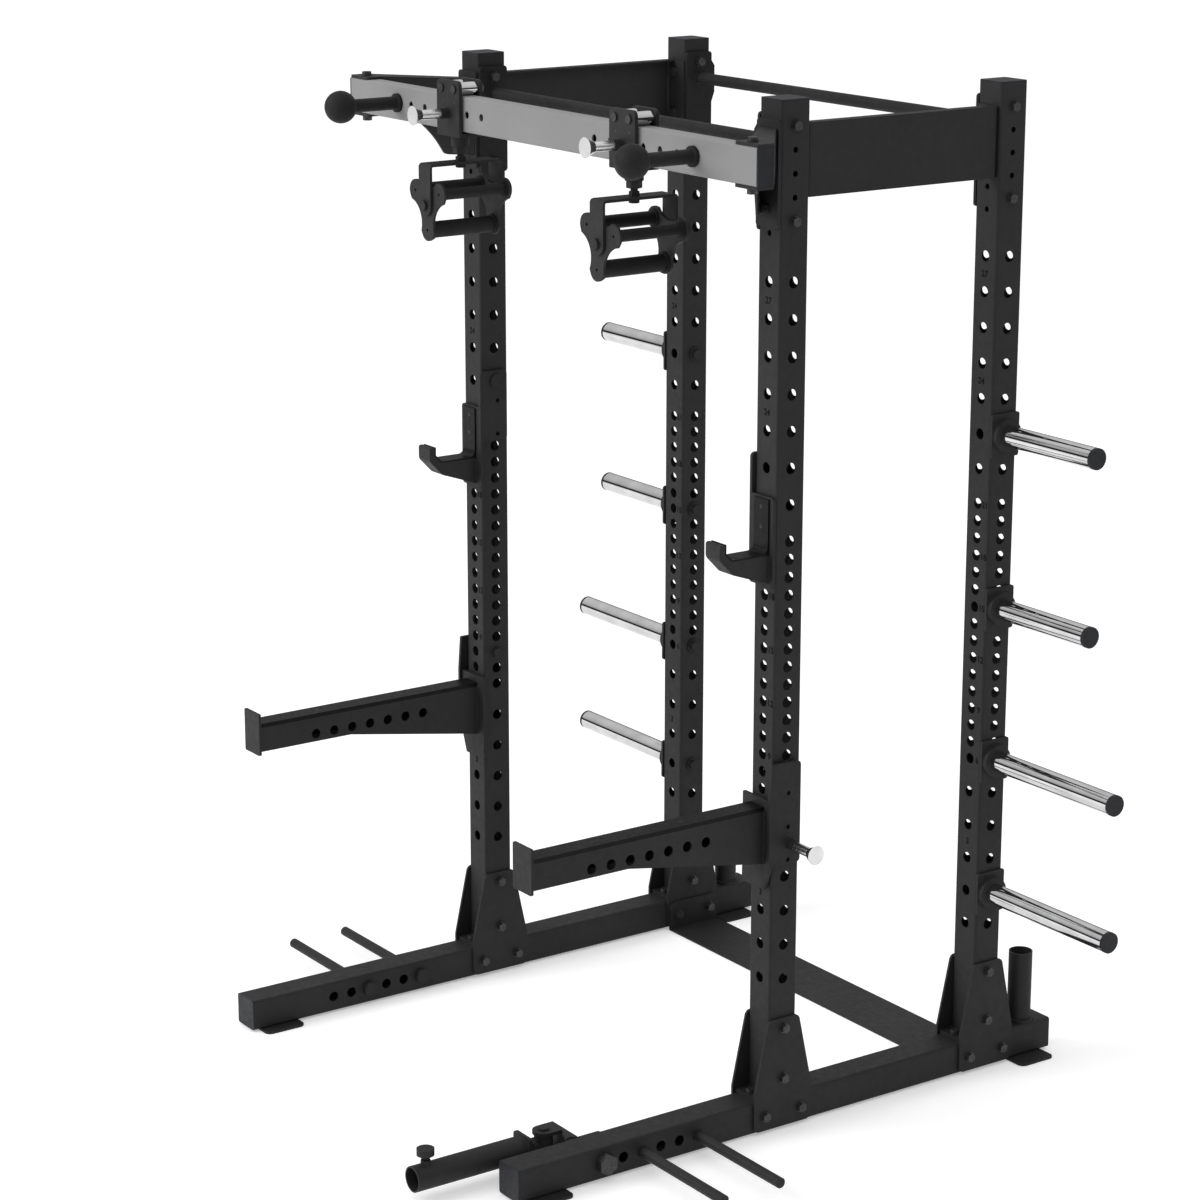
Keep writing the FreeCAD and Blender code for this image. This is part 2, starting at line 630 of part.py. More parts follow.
def upright(label, side, end):
    """A punched tube on a welded plate, its origin on top of the rail."""
    name = label.title().replace("_", "")
    body = square_tube(name, "z", "post_side", "post_wall", "post_round", f"post_top - {RAIL_TOP}")
    foot = new_sketch(body, "z", name + "FootOutline")
    outline(foot, square(f"-{HALF_POST}", HALF_POST, "-post_foot_length / 2", "post_foot_length / 2"))
    circle(foot, ("0", "post_foot_bolt"), "bolt_hole")
    circle(foot, ("0", "-post_foot_bolt"), "bolt_hole")
    foot_pad = body.newObject("PartDesign::Pad", name + "Foot")
    foot_pad.Profile = foot
    bind(foot_pad, Length="post_foot_thick")
    starts = (
        ("Low", f"hole_first - {RAIL_TOP}", "wide_pitch", "wide_gaps"),
        ("Close", f"hole_first + wide_gaps * wide_pitch - {RAIL_TOP}", "close_pitch", "close_gaps + 1"),
        ("High", f"hole_first + (wide_gaps + 1) * wide_pitch + close_gaps * close_pitch - {RAIL_TOP}",
         "wide_pitch", "high_gaps"),
    )
    for axis in ("x", "y"):
        for zone, start, pitch, count in starts:
            hole_row(body, f"{name}{zone}{axis.upper()}", axis, [("0", start)], "hole_size", "V_Axis", pitch, count)
    for face, axis, start in (("Side", "x", TOP_SIDE), ("Front", "y", TOP_FRONT)):
        hole_row(body, f"{name}Top{face}", axis, [("0", f"{start} - {RAIL_TOP}")],
                 "bolt_hole", "V_Axis", "top_hole_pitch", "top_hole_count")
    hole_row(body, name + "Gusset", "x", [("0", "gusset_bolt_high"), ("0", "gusset_bolt_low")],
             "bolt_hole", None, None, None)
    at(body, "x", f"{side} * {POST_X}")
    at(body, "y", f"{end} * {POST_Y}")
    at(body, "z", RAIL_TOP)
    subpart(label, body)
    return body


def base_rail(label, side):
    """A floor rail, its origin at its middle height beside the centre of the rack."""
    name = label.title().replace("_", "")
    body = doc.addObject("PartDesign::Body", name)
    sketch = new_sketch(body, "y", name + "Square")
    half = RAIL_HALF
    outline(sketch, square(f"-{half}", half, f"-{half}", half))
    pad = body.newObject("PartDesign::Pad", name + "Pad")
    pad.Profile = sketch
    pad.SideType = "Two sides"
    bind(pad, Length="rail_front - cap_thick", Length2="rail_rear - cap_thick")
    doc.recompute()
    round_corners(body, pad, sketch, "y", [((0, 1, 2, 3), "post_round")], name)
    bore = new_sketch(body, "y", name + "Bore")
    inside = f"({half} - post_wall)"
    outline(bore, square(f"-{inside}", inside, f"-{inside}", inside))
    hollow = body.newObject("PartDesign::Pocket", name + "Hollow")
    hollow.Profile = bore
    hollow.Type = "ThroughAll"
    hollow.Midplane = True
    hole_row(body, name + "Band", "x",
             [("-band_hole_first - band_hole_gaps * band_hole_pitch", "0")],
             "hole_size", "H_Axis", "band_hole_pitch", "band_hole_gaps + 1")
    spots = [(f"{end} * {POST_Y} + {step} * gusset_bolt_spread / 2", "0")
             for end in ("-1", "1") for step in ("-1", "1")]
    hole_row(body, name + "Bolts", "x", spots, "bolt_hole", None, None, None)
    spots = [("0", f"{end} * {POST_Y} + {step} * post_foot_bolt")
             for end in ("-1", "1") for step in ("-1", "1")]
    hole_row(body, name + "FootBolts", "z", spots, "bolt_hole", None, None, None,
             reverse=True, midplane=False)
    at(body, "x", f"{side} * {POST_X}")
    at(body, "z", RAIL_Z)
    subpart(label, body)
    return body


# Frame: uprights and their caps
front_post = upright("upright_front_right", "1", "-1")
subpart("upright_front_left", mirrored("UprightFrontLeft", front_post))
rear_post = mirrored("UprightRearRight", front_post, Vector(0, 1, 0))
subpart("upright_rear_right", rear_post)
subpart("upright_rear_left", mirrored("UprightRearLeft", rear_post))


def tube_cap(name, axis, low, high, outward, side, places, across):
    """A square plastic cap with a plug inside its tube."""
    first, second = places
    head = plate(name + "Head", axis, low, high,
                 square(f"{first} - {side} / 2", f"{first} + {side} / 2",
                        f"{second} - {across} / 2", f"{second} + {across} / 2"),
                 rounds=[((0, 1, 2, 3), "post_round")])
    plug_low, plug_high = (f"({low}) - cap_plug", low) if outward > 0 else (high, f"({high}) + cap_plug")
    ranges = {axis: (plug_low, plug_high)}
    for other, place, whole in zip(LEFT_OVER[axis], places, (side, across)):
        inside = f"({whole} / 2 - post_wall - cap_gap)"
        ranges[other] = (f"{place} - {inside}", f"{place} + {inside}")
    plug = box(name + "Plug", ranges["x"], ranges["y"], ranges["z"])
    return fuse(name, [head, plug])


caps = [tube_cap(f"PostCap{number}", "z", "post_top", "post_top + cap_thick", 1, "post_side",
                 (f"{x} * {POST_X}", f"{y} * {POST_Y}"), "post_side")
        for number, (x, y) in enumerate((("-1", "-1"), ("1", "-1"), ("-1", "1"), ("1", "1")))]
subpart("upright_caps", group("UprightCaps", caps))

# Floor rails with their caps and floor plates
subpart("base_rail_left", mirrored("BaseRailLeft", base_rail("base_rail_right", "1")))

caps = []
for side, side_sign in SIDES:
    caps.append(tube_cap(f"RailFrontCap{side}", "y", "-rail_front", "-rail_front + cap_thick", -1,
                         "rail_side", (f"{side_sign} * {POST_X}", RAIL_Z), "rail_side"))
    caps.append(tube_cap(f"RailRearCap{side}", "y", "rail_rear - cap_thick", "rail_rear", 1,
                         "rail_side", (f"{side_sign} * {POST_X}", RAIL_Z), "rail_side"))
subpart("rail_end_caps", group("RailEndCaps", caps))

feet = []
for end, width, low, high in (("Front", "front_foot_width", "-front_foot_far", "-front_foot_near"),
                              ("Rear", "rear_foot_width", "rear_foot_near", "rear_foot_far")):
    foot = plate(f"{end}Foot", "z", "0", "foot_thick",
                 square(f"{POST_X} - {width} / 2", f"{POST_X} + {width} / 2", low, high),
                 rounds=[((0, 1, 2, 3), "foot_round")])
    feet += [foot, mirrored(f"{end}FootLeft", foot)]
subpart("foot_plates", group("FootPlates", feet))

# Gusset plates between the rails and the uprights, and the bolts through them
GUSSET_TOP = f"({RAIL_TOP} + gusset_rise)"
GUSSET_SHOULDER = f"({RAIL_TOP} + gusset_shoulder)"
GUSSET_LOW = "(foot_thick + gusset_floor_gap)"


def gusset(name, low, high, end):
    """A plate that is narrow on the upright and wide on the rail."""
    middle = f"{end} * {POST_Y}"
    corners = [(f"{middle} - gusset_width / 2", GUSSET_LOW),
               (f"{middle} + gusset_width / 2", GUSSET_LOW),
               (f"{middle} + gusset_width / 2", GUSSET_SHOULDER),
               (f"{middle} + gusset_top_width / 2", GUSSET_TOP),
               (f"{middle} - gusset_top_width / 2", GUSSET_TOP),
               (f"{middle} - gusset_width / 2", GUSSET_SHOULDER)]
    holes = [(middle, f"{RAIL_TOP} + gusset_bolt_high", "bolt_hole"),
             (middle, f"{RAIL_TOP} + gusset_bolt_low", "bolt_hole"),
             (f"{middle} - gusset_bolt_spread / 2", RAIL_Z, "bolt_hole"),
             (f"{middle} + gusset_bolt_spread / 2", RAIL_Z, "bolt_hole")]
    return plate(name, "x", low, high, corners, [((0, 1, 3, 4), "gusset_round")], holes)


GUSSET_OUT = f"({OUTER} + gusset_thick)"
GUSSET_IN = f"({INNER} - gusset_thick)"
gussets = []
gusset_bolts = []
for end, end_sign in (("Front", "-1"), ("Rear", "1")):
    gussets += [gusset(f"GussetOut{end}", OUTER, GUSSET_OUT, end_sign),
                gusset(f"GussetIn{end}", GUSSET_IN, INNER, end_sign)]
    middle = f"{end_sign} * {POST_Y}"
    low_face = GUSSET_IN if end == "Front" else f"({GUSSET_IN} - cross_flange)"
    for number, rise in enumerate(("gusset_bolt_high", "gusset_bolt_low")):
        gusset_bolts.append(bolt(f"PostBolt{end}{number}", "x", GUSSET_IN, GUSSET_OUT,
                                 (middle, f"{RAIL_TOP} + {rise}")))
    for number, step in enumerate(("-1", "1")):
        gusset_bolts.append(bolt(f"RailBolt{end}{number}", "x", low_face, GUSSET_OUT,
                                 (f"{middle} + {step} * gusset_bolt_spread / 2", RAIL_Z)))
        gusset_bolts.append(stud(f"FootBolt{end}{number}", "z", f"{RAIL_TOP} + post_foot_thick",
                                 "post_foot_thick + bolt_grip", 1,
                                 (POST_X, f"{middle} + {step} * post_foot_bolt")))
right = group("GussetsRight", gussets)
subpart("gusset_plates", group("GussetPlates", [right, mirrored("GussetsLeft", right)]))
right = group("GussetBoltsRight", gusset_bolts)
subpart("gusset_bolts", group("GussetBolts", [right, mirrored("GussetBoltsLeft", right)]))

# Rear floor crossmember: a flat strip whose ends turn up inside the gusset plates
CROSS_LOW_Y = f"({POST_Y} - cross_width / 2)"
CROSS_HIGH_Y = f"({POST_Y} + cross_width / 2)"
strip = box("CrossStrip", (f"-{GUSSET_IN}", GUSSET_IN), (CROSS_LOW_Y, CROSS_HIGH_Y), ("0", "cross_thick"))
flange = plate("CrossFlange", "x", f"{GUSSET_IN} - cross_flange", GUSSET_IN,
               square(CROSS_LOW_Y, CROSS_HIGH_Y, "0", "cross_top"), [((2, 3), "foot_round")],
               [(f"{POST_Y} + {step} * gusset_bolt_spread / 2", RAIL_Z, "bolt_hole") for step in ("-1", "1")])
subpart("floor_crossmember", fuse("Crossmember", [strip, flange, mirrored("CrossFlangeLeft", flange)]))

# Side beams: a folded sheet with lips inward along its top and bottom and across its ends
SIDE_LOW = f"({TOP_FRONT} + 3 * top_hole_pitch - side_tall / 2)"
SIDE_HIGH = f"({TOP_FRONT} + 3 * top_hole_pitch + side_tall / 2)"
SIDE_BOLTS = tuple(f"{TOP_FRONT} + {step} * top_hole_pitch" for step in (2, 4))
SIDE_FACE = f"({POST_X} + side_face)"
SIDE_INSIDE = f"({SIDE_FACE} - side_sheet)"
folded = plate("SideFold", "z", SIDE_LOW, SIDE_HIGH, square(INNER, SIDE_FACE, f"-{BACK}", BACK),
               rounds=[((1, 2), "side_bend")])
hollow = plate("SideHollow", "z", SIDE_LOW, SIDE_HIGH,
               square(f"{INNER} - side_lip", SIDE_INSIDE, f"-{BACK} + side_sheet", f"{BACK} - side_sheet"),
               rounds=[((1, 2), "side_bend - side_sheet")])
ends = [rod(f"SideHole{number}", "bolt_hole", "y", f"-{BACK} - side_sheet", f"{BACK} + side_sheet",
            (POST_X, height))
        for number, height in enumerate(SIDE_BOLTS)]
lips = [box(f"SideLip{number}", (f"{SIDE_FACE} - side_lip", f"{SIDE_INSIDE} + side_sheet / 2"),
            (f"-{BACK} + side_sheet / 2", f"{BACK} - side_sheet / 2"), heights)
        for number, heights in enumerate(((SIDE_LOW, f"{SIDE_LOW} + side_sheet"),
                                          (f"{SIDE_HIGH} - side_sheet", SIDE_HIGH)))]
panel = fuse("SidePanel", [cut("SideShell", folded, [hollow] + ends)] + lips)
subpart("side_beam_right", panel)
subpart("side_beam_left", mirrored("SidePanelLeft", panel))

# Pull-up bars, each welded between two end plates that are bolted to the uprights' inner faces
PULL_LOW = f"({TOP_SIDE} - pull_plate_margin)"
PULL_BOLT = f"({TOP_SIDE} + 4 * top_hole_pitch)"
PULL_HIGH = f"({PULL_BOLT} + pull_plate_margin)"
PULL_Z = f"({PULL_BOLT} - pull_bar_drop)"


def pull_up_bar(label, name, end):
    middle = f"{end} * {POST_Y}"
    edge = f"({middle} + {end} * {HALF_POST})"
    ear = f"({edge} + {end} * pull_ear)"
    near = f"({middle} - {end} * {HALF_POST})"
    corners = [(near, PULL_LOW), (edge, PULL_LOW),
               (edge, f"{PULL_Z} - pull_ear_below - pull_ear_slope"), (ear, f"{PULL_Z} - pull_ear_below"),
               (ear, f"{PULL_Z} + pull_ear_above"), (edge, f"{PULL_Z} + pull_ear_above + pull_ear_slope / 2"),
               (edge, PULL_HIGH), (near, PULL_HIGH)]
    holes = [(middle, TOP_SIDE, "bolt_hole"), (middle, PULL_BOLT, "bolt_hole")]
    end_plate = plate(name + "Plate", "x", f"{INNER} - pull_plate_thick", INNER, corners,
                      [((0, 1, 6, 7), "pull_plate_round")], holes)
    bar = rod(name + "Bar", "pull_bar_size", "x", f"-{INNER} + pull_plate_thick",
              f"{INNER} - pull_plate_thick", (middle, PULL_Z))
    subpart(label, fuse(name, [end_plate, mirrored(name + "PlateLeft", end_plate), bar]))


pull_up_bar("pull_up_bar_front", "PullFront", "-1")
pull_up_bar("pull_up_bar_rear", "PullRear", "1")

# Bolts of the pull-up bars, the side beams and the beam arms
ARM_FACE = f"({FRONT} + arm_plate_thick)"
upper_bolts = []
for end, end_sign in (("Front", "-1"), ("Rear", "1")):
    for number, height in enumerate((TOP_SIDE, PULL_BOLT)):
        upper_bolts.append(bolt(f"PullBolt{end}{number}", "x", f"{INNER} - pull_plate_thick", OUTER,
                                (f"{end_sign} * {POST_Y}", height)))
    for number, height in enumerate(SIDE_BOLTS):
        outward = 1 if end == "Front" else -1
        upper_bolts.append(stud(f"SideBolt{end}{number}", "y", f"{end_sign} * ({BACK} - side_sheet)",
                                "side_sheet + post_wall + bolt_grip", outward, (POST_X, height)))
upper_bolts.append(stud("ArmBolt", "y", f"-{ARM_FACE}", "arm_plate_thick + post_wall + bolt_grip", -1,
                        (POST_X, f"{TOP_FRONT} + top_hole_pitch")))
upper_bolts.append(bolt("TabBolt", "z", f"{BEAM_BOTTOM} - tab_gap - tab_thick",
                        f"{BEAM_TOP} + tab_gap + tab_thick", (TAB_BOLT_X, "-beam_y")))
right = group("UpperBoltsRight", upper_bolts)
subpart("upper_bolts", group("UpperBolts", [right, mirrored("UpperBoltsLeft", right)]))

# Front beam with its row of holes and end caps
body = doc.addObject("PartDesign::Body", "FrontBeam")
sketch = new_sketch(body, "x", "BeamOutline")
outline(sketch, square("-beam_deep / 2", "beam_deep / 2", "-beam_tall / 2", "beam_tall / 2"))
pad = body.newObject("PartDesign::Pad", "BeamPad")
pad.Profile = sketch
pad.Midplane = True
bind(pad, Length="2 * (beam_half - cap_thick)")
doc.recompute()
round_corners(body, pad, sketch, "x", [((0, 1, 2, 3), "beam_round")], "Beam")
bore = new_sketch(body, "x", "BeamBore")
outline(bore, square("-(beam_deep / 2 - beam_wall)", "beam_deep / 2 - beam_wall",
                     "-(beam_tall / 2 - beam_wall)", "beam_tall / 2 - beam_wall"))
hollow = body.newObject("PartDesign::Pocket", "BeamHollow")
hollow.Profile = bore
hollow.Type = "ThroughAll"
hollow.Midplane = True
for side, start in (("Left", "-beam_hole_first - (beam_hole_count - 1) * beam_hole_pitch"),
                    ("Right", "beam_hole_first")):
    hole_row(body, "BeamHoles" + side, "y", [(start, "0")], "beam_hole", "H_Axis",
             "beam_hole_pitch", "beam_hole_count", reverse=True, midplane=False)
hole_row(body, "BeamTabHoles", "z", [(f"-{TAB_BOLT_X}", "0"), (TAB_BOLT_X, "0")],
         "bolt_hole", None, None, None)
at(body, "y", "-beam_y")
at(body, "z", BEAM_Z)
subpart("front_beam", body)

head = plate("BeamCapHead", "x", "beam_half - cap_thick", "beam_half",
             square(f"-{BEAM_FRONT}", f"-{BEAM_BACK}", BEAM_BOTTOM, BEAM_TOP), [((0, 1, 2, 3), "beam_round")])
plug = box("BeamCapPlug", ("beam_half - cap_thick - cap_plug / 2", "beam_half - cap_thick"),
           (f"-{BEAM_FRONT} + beam_wall + cap_gap", f"-{BEAM_BACK} - beam_wall - cap_gap"),
           (f"{BEAM_BOTTOM} + beam_wall + cap_gap", f"{BEAM_TOP} - beam_wall - cap_gap"))
cap = fuse("BeamCap", [head, plug])
subpart("beam_end_caps", group("BeamEndCaps", [cap, mirrored("BeamCapLeft", cap)]))

# Beam arms: a bracket plate on the upright, two webs, the inner one drawn down as a gusset,
# and tabs that hold the beam's end
ARM_LOW = f"({TOP_FRONT} + top_hole_pitch - arm_plate_margin)"
ARM_HIGH = f"({TOP_FRONT} + 4 * top_hole_pitch + arm_plate_margin)"
ARM_PAD = f"({ARM_FACE} + arm_pad_thick)"
ARM_BACK = f"({BEAM_BACK} - tab_gap)"
bracket = plate("ArmBracket", "y", f"-{ARM_FACE}", f"-{FRONT}", square(INNER, OUTER, ARM_LOW, ARM_HIGH),
                [((0, 1, 2, 3), "tab_round")],
                [(POST_X, f"{TOP_FRONT} + top_hole_pitch", "bolt_hole")])
pad = box("ArmPad", (INNER, f"{OUTER} - arm_pad_margin"), (f"-{ARM_PAD}", f"-{ARM_FACE}"),
          (BEAM_BOTTOM, BEAM_TOP))
route = [(f"{POST_X} - arm_width / 2", f"-{ARM_FACE}"), (f"{POST_X} + arm_width / 2", f"-{ARM_FACE}"),
         ("beam_half", f"-{ARM_BACK}"), (HOLD_X, f"-{ARM_BACK}")]
inside = [(f"{POST_X} - arm_width / 2 + arm_web", f"-{ARM_FACE}"),
          (f"{POST_X} + arm_width / 2 - arm_web", f"-{ARM_FACE}"),
          ("beam_half - 2 * arm_web", f"-{ARM_BACK} + arm_web"), (f"{HOLD_X} + arm_web", f"-{ARM_BACK} + arm_web")]
webs = cut("ArmWebs", plate("ArmBox", "z", BEAM_BOTTOM, BEAM_TOP, route),
           [plate("ArmHollow", "z", BEAM_BOTTOM, BEAM_TOP, inside)])
GUSSET_LOW = f"({BEAM_BOTTOM} - arm_gusset_drop)"
arm_gusset = doc.addObject("Part::Common", "ArmGusset")
arm_gusset.Base = plate("ArmGussetSheet", "z", GUSSET_LOW, BEAM_BOTTOM, [route[0], inside[0], inside[3], route[3]])
arm_gusset.Tool = plate("ArmGussetEdge", "x", INNER, "beam_half",
                        [(f"-{ARM_FACE}", GUSSET_LOW), (f"-{ARM_FACE} - arm_gusset_foot", GUSSET_LOW),
                         (f"-{ARM_FACE} - arm_gusset_bend", f"{BEAM_BOTTOM} - arm_gusset_bend_drop"),
                         (f"-{ARM_FACE} - arm_gusset_reach", BEAM_BOTTOM), (f"-{ARM_FACE}", BEAM_BOTTOM)],
                        [((1,), "tab_round"), ((2,), "arm_gusset_round")])
tab_route = route[:2] + [("beam_half", f"-{ARM_BACK}"), ("beam_half", f"-{BEAM_FRONT}"),
                         (HOLD_X, f"-{BEAM_FRONT}"), (HOLD_X, f"-{ARM_BACK}")]
tabs = [plate(f"ArmTab{number}", "z", low, high, tab_route, [((3, 4), "tab_round")],
              [(TAB_BOLT_X, "-beam_y", "bolt_hole")])
        for number, (low, high) in enumerate(((f"{BEAM_BOTTOM} - tab_gap - tab_thick", f"{BEAM_BOTTOM} - tab_gap"),
                                              (f"{BEAM_TOP} + tab_gap", f"{BEAM_TOP} + tab_gap + tab_thick")))]
fillers = [plate(f"ArmSeam{number}", "z", low, high, route)
           for number, (low, high) in enumerate(((f"{BEAM_BOTTOM} - tab_gap", f"{BEAM_BOTTOM} + arm_web"),
                                                 (f"{BEAM_TOP} - arm_web", f"{BEAM_TOP} + tab_gap")))]
arm = fuse("BeamArm", [bracket, pad, webs, arm_gusset] + tabs + fillers)
subpart("beam_arm_right", arm)
subpart("beam_arm_left", mirrored("BeamArmLeft", arm))

# Globe grips on the front beam
globe = fuse("Globe", [
    rod("GlobeFlange", "globe_flange", "y", f"-{BEAM_FRONT} - globe_flange_thick", f"-{BEAM_FRONT}", (POST_X, BEAM_Z)),
    rod("GlobeShaft", "globe_shaft", "y", "-globe_y", f"-{BEAM_FRONT}", (POST_X, BEAM_Z)),
    ball("GlobeBall", "globe_size", (POST_X, "-globe_y", BEAM_Z)),
])
subpart("globe_grips", group("GlobeGrips", [globe, mirrored("GlobeLeft", globe)]))

# Band pegs through the rails
pegs = []
for number, step in enumerate(("0", "3")):
    place = (f"-band_hole_first - {step} * band_hole_pitch", RAIL_Z)
    pegs.append(fuse(f"BandPeg{number}", [
        rod(f"BandCore{number}", "hole_size - 2 * band_peg_gap", "x", f"{INNER} - band_knob_thick", OUTER, place),
        rod(f"BandRod{number}", "band_peg_size", "x", OUTER, "band_peg_tip", place),
        rod(f"BandKnob{number}", "band_knob", "x", f"{INNER} - band_knob_thick", INNER, place),
    ]))
right = group("BandPegsRight", pegs)
subpart("band_pegs", group("BandPegs", [right, mirrored("BandPegsLeft", right)]))

# Storage pegs on the rear uprights: base with its bolt, chrome sleeve, plastic end
PEG_FACE = f"({OUTER} + peg_plate_thick + peg_collar_thick)"
bases, sleeves, ends = [], [], []
for number, tip in PEG_HOLES:
    height = hole_height(number)
    place = (POST_Y, height)
    square_plate = plate(f"PegPlate{number}", "x", OUTER, f"{OUTER} + peg_plate_thick",
                         square(f"{POST_Y} - peg_plate_width / 2", f"{POST_Y} + peg_plate_width / 2",
                                f"{height} - peg_plate_tall / 2", f"{height} + peg_plate_tall / 2"),
                         [((0, 1, 2, 3), "post_round")])
    bases.append(fuse(f"PegBase{number}", [
        square_plate,
        rod(f"PegCollar{number}", "peg_collar", "x", OUTER, PEG_FACE, place),
        rod(f"PegCore{number}", "peg_bolt", "x", f"{INNER} - peg_washer_thick", f"{PEG_FACE} + cap_plug", place),
        rod(f"PegWasher{number}", "peg_washer", "x", f"{INNER} - peg_washer_thick", INNER, place),
        hexagon(f"PegHead{number}", "peg_across", "x", f"{INNER} - peg_washer_thick - peg_head",
                f"{INNER} - peg_washer_thick", place),
    ]))
    sleeves.append(cut(f"PegSleeve{number}",
                       rod(f"PegTube{number}", "peg_sleeve", "x", PEG_FACE, f"{tip} - peg_cap", place),
                       [rod(f"PegBore{number}", "peg_sleeve - 2 * peg_sleeve_wall", "x",
                            f"{PEG_FACE} - cap_plug", f"{tip} + cap_plug", place)]))
    ends.append(fuse(f"PegEnd{number}", [
        rod(f"PegEndDisc{number}", "peg_sleeve", "x", f"{tip} - peg_cap", tip, place),
        rod(f"PegEndPlug{number}", "peg_sleeve - 2 * (peg_sleeve_wall + cap_gap)", "x",
            f"{tip} - peg_cap - cap_plug", f"{tip} - peg_cap", place),
    ]))
for label, name, things in (("storage_peg_bases", "PegBases", bases),
                            ("storage_sleeves", "PegSleeves", sleeves),
                            ("storage_end_caps", "PegEnds", ends)):
    right = group(name + "Right", things)
    subpart(label, group(name, [right, mirrored(name + "Left", right)]))

# Upright bar holders on the rails
place = (POST_X, "holder_y")
holder_top = f"{RAIL_TOP} + holder_tall"
holder = cut("Holder", fuse("HolderOut", [
    rod("HolderTube", "holder_size", "z", RAIL_TOP, holder_top, place),
    rod("HolderRing", "holder_ring", "z", RAIL_TOP, f"{RAIL_TOP} + holder_ring_thick", place),
]), [rod("HolderBore", "holder_size - 2 * holder_wall", "z", f"{RAIL_TOP} + holder_ring_thick",
         f"{holder_top} + cap_plug", place)])
subpart("bar_holders", group("BarHolders", [holder, mirrored("HolderLeft", holder)]))

# Carriages on the front beam
CAR_X = "(beam_hole_first + carriage_hole * beam_hole_pitch)"
CAR_LOW = f"({BEAM_BOTTOM} - carriage_below)"
CAR_HIGH = f"({BEAM_TOP} + carriage_above)"
CAR_FRONT_IN = f"({BEAM_FRONT} + carriage_gap)"
CAR_FRONT_OUT = f"({CAR_FRONT_IN} + carriage_plate)"
CAR_BACK_IN = f"({BEAM_BACK} - carriage_gap)"
CAR_BACK_OUT = f"({CAR_BACK_IN} - carriage_plate)"
ROLLER_Z = f"({BEAM_TOP} + running_gap + roller_size / 2)"
GUIDE_Z = f"({BEAM_Z} + guide_hole_rise)"
PIN_HOLE = "(pin_size + 2 * running_gap)"


def carriage():
    """Front and back plates joined below the beam, with the pin's barrel and the swivel's hub."""
    axles = [(f"{CAR_X} + {step} * roller_offset", ROLLER_Z, "axle_size") for step in ("-1", "1")]
    guides = [(f"{CAR_X} + {step} * guide_hole_offset", GUIDE_Z, "guide_hole") for step in ("-1", "1")]
    front = plate("CarriageFront", "y", f"-{CAR_FRONT_OUT}", f"-{CAR_FRONT_IN}",
                  square(f"{CAR_X} - carriage_width / 2", f"{CAR_X} + carriage_width / 2", CAR_LOW, CAR_HIGH),
                  [((2, 3), "carriage_round")], axles + guides + [(CAR_X, BEAM_Z, PIN_HOLE)])
    back = plate("CarriageBack", "y", f"-{CAR_BACK_IN}", f"-{CAR_BACK_OUT}",
                 square(f"{CAR_X} - carriage_back_width / 2", f"{CAR_X} + carriage_back_width / 2",
                        CAR_LOW, CAR_HIGH),
                 [((2, 3), "carriage_round")], axles)
    swivel = "(swivel_size + 2 * running_gap)"
    floor = plate("CarriageFloor", "z", CAR_LOW, f"{CAR_LOW} + carriage_plate",
                  square(f"{CAR_X} - carriage_back_width / 2", f"{CAR_X} + carriage_back_width / 2",
                         f"-{CAR_FRONT_IN}", f"-{CAR_BACK_IN}"), (), [(CAR_X, "-beam_y", swivel)])
    place = (CAR_X, "-beam_y")
    hub = cut("Hub", fuse("HubOut", [
        rod("HubBoss", "hub_size", "z", f"{CAR_LOW} - hub_tall", CAR_LOW, place),
        hexagon("HubNut", "hub_nut", "z", f"{CAR_LOW} - hub_tall - hub_nut_tall", f"{CAR_LOW} - hub_tall", place),
    ]), [rod("HubRelief", "swivel_relief", "z", f"{CAR_LOW} - hub_tall - 2 * hub_nut_tall", CAR_LOW, place)])
    barrel = cut("CarriageBarrel",
                 rod("BarrelOut", "pin_barrel", "y", f"-{CAR_FRONT_OUT} - pin_barrel_long",
                     f"-{CAR_FRONT_OUT}", (CAR_X, BEAM_Z)),
                 [rod("BarrelBore", PIN_HOLE, "y", f"-{CAR_FRONT_OUT} - 2 * pin_barrel_long",
                      f"-{CAR_FRONT_IN}", (CAR_X, BEAM_Z))])
    return fuse("Carriage", [front, back, floor, hub, barrel])


def carriage_bolts():
    """Roller axles with their heads and nuts, and the small guide screws."""
    pieces = []
    for step in ("-1", "1"):
        place = (f"{CAR_X} + {step} * roller_offset", ROLLER_Z)
        pieces.append(fuse(f"Axle{step}", [
            rod(f"AxleRod{step}", "axle_size", "y", f"-{CAR_FRONT_OUT} - axle_head_thick",
                f"-{CAR_BACK_OUT} + nut_tall", place),
            rod(f"AxleHead{step}", "axle_head", "y", f"-{CAR_FRONT_OUT} - axle_head_thick",
                f"-{CAR_FRONT_OUT}", place),
            hexagon(f"AxleNut{step}", "bolt_across", "y", f"-{CAR_BACK_OUT}",
                    f"-{CAR_BACK_OUT} + nut_tall", place),
        ]))
        pieces.append(rod(f"GuideScrew{step}", "guide_hole", "y", f"-{CAR_FRONT_OUT} + running_gap",
                          f"-{CAR_FRONT_IN} + carriage_gap / 2",
                          (f"{CAR_X} + {step} * guide_hole_offset", GUIDE_Z)))
    return group("CarriageBolts", pieces)


def roller(step):
    """A chrome roller that turns on its axle between the plates."""
    place = (f"{CAR_X} + {step} * roller_offset", ROLLER_Z)
    low, high = f"-{CAR_FRONT_IN} + running_gap", f"-{CAR_BACK_IN} - running_gap"
    return cut(f"Roller{step}", rod(f"RollerOut{step}", "roller_size", "y", low, high, place),
               [rod(f"RollerBore{step}", "axle_size + 2 * running_gap", "y",
                    f"-{CAR_FRONT_OUT}", f"-{CAR_BACK_OUT}", place)])


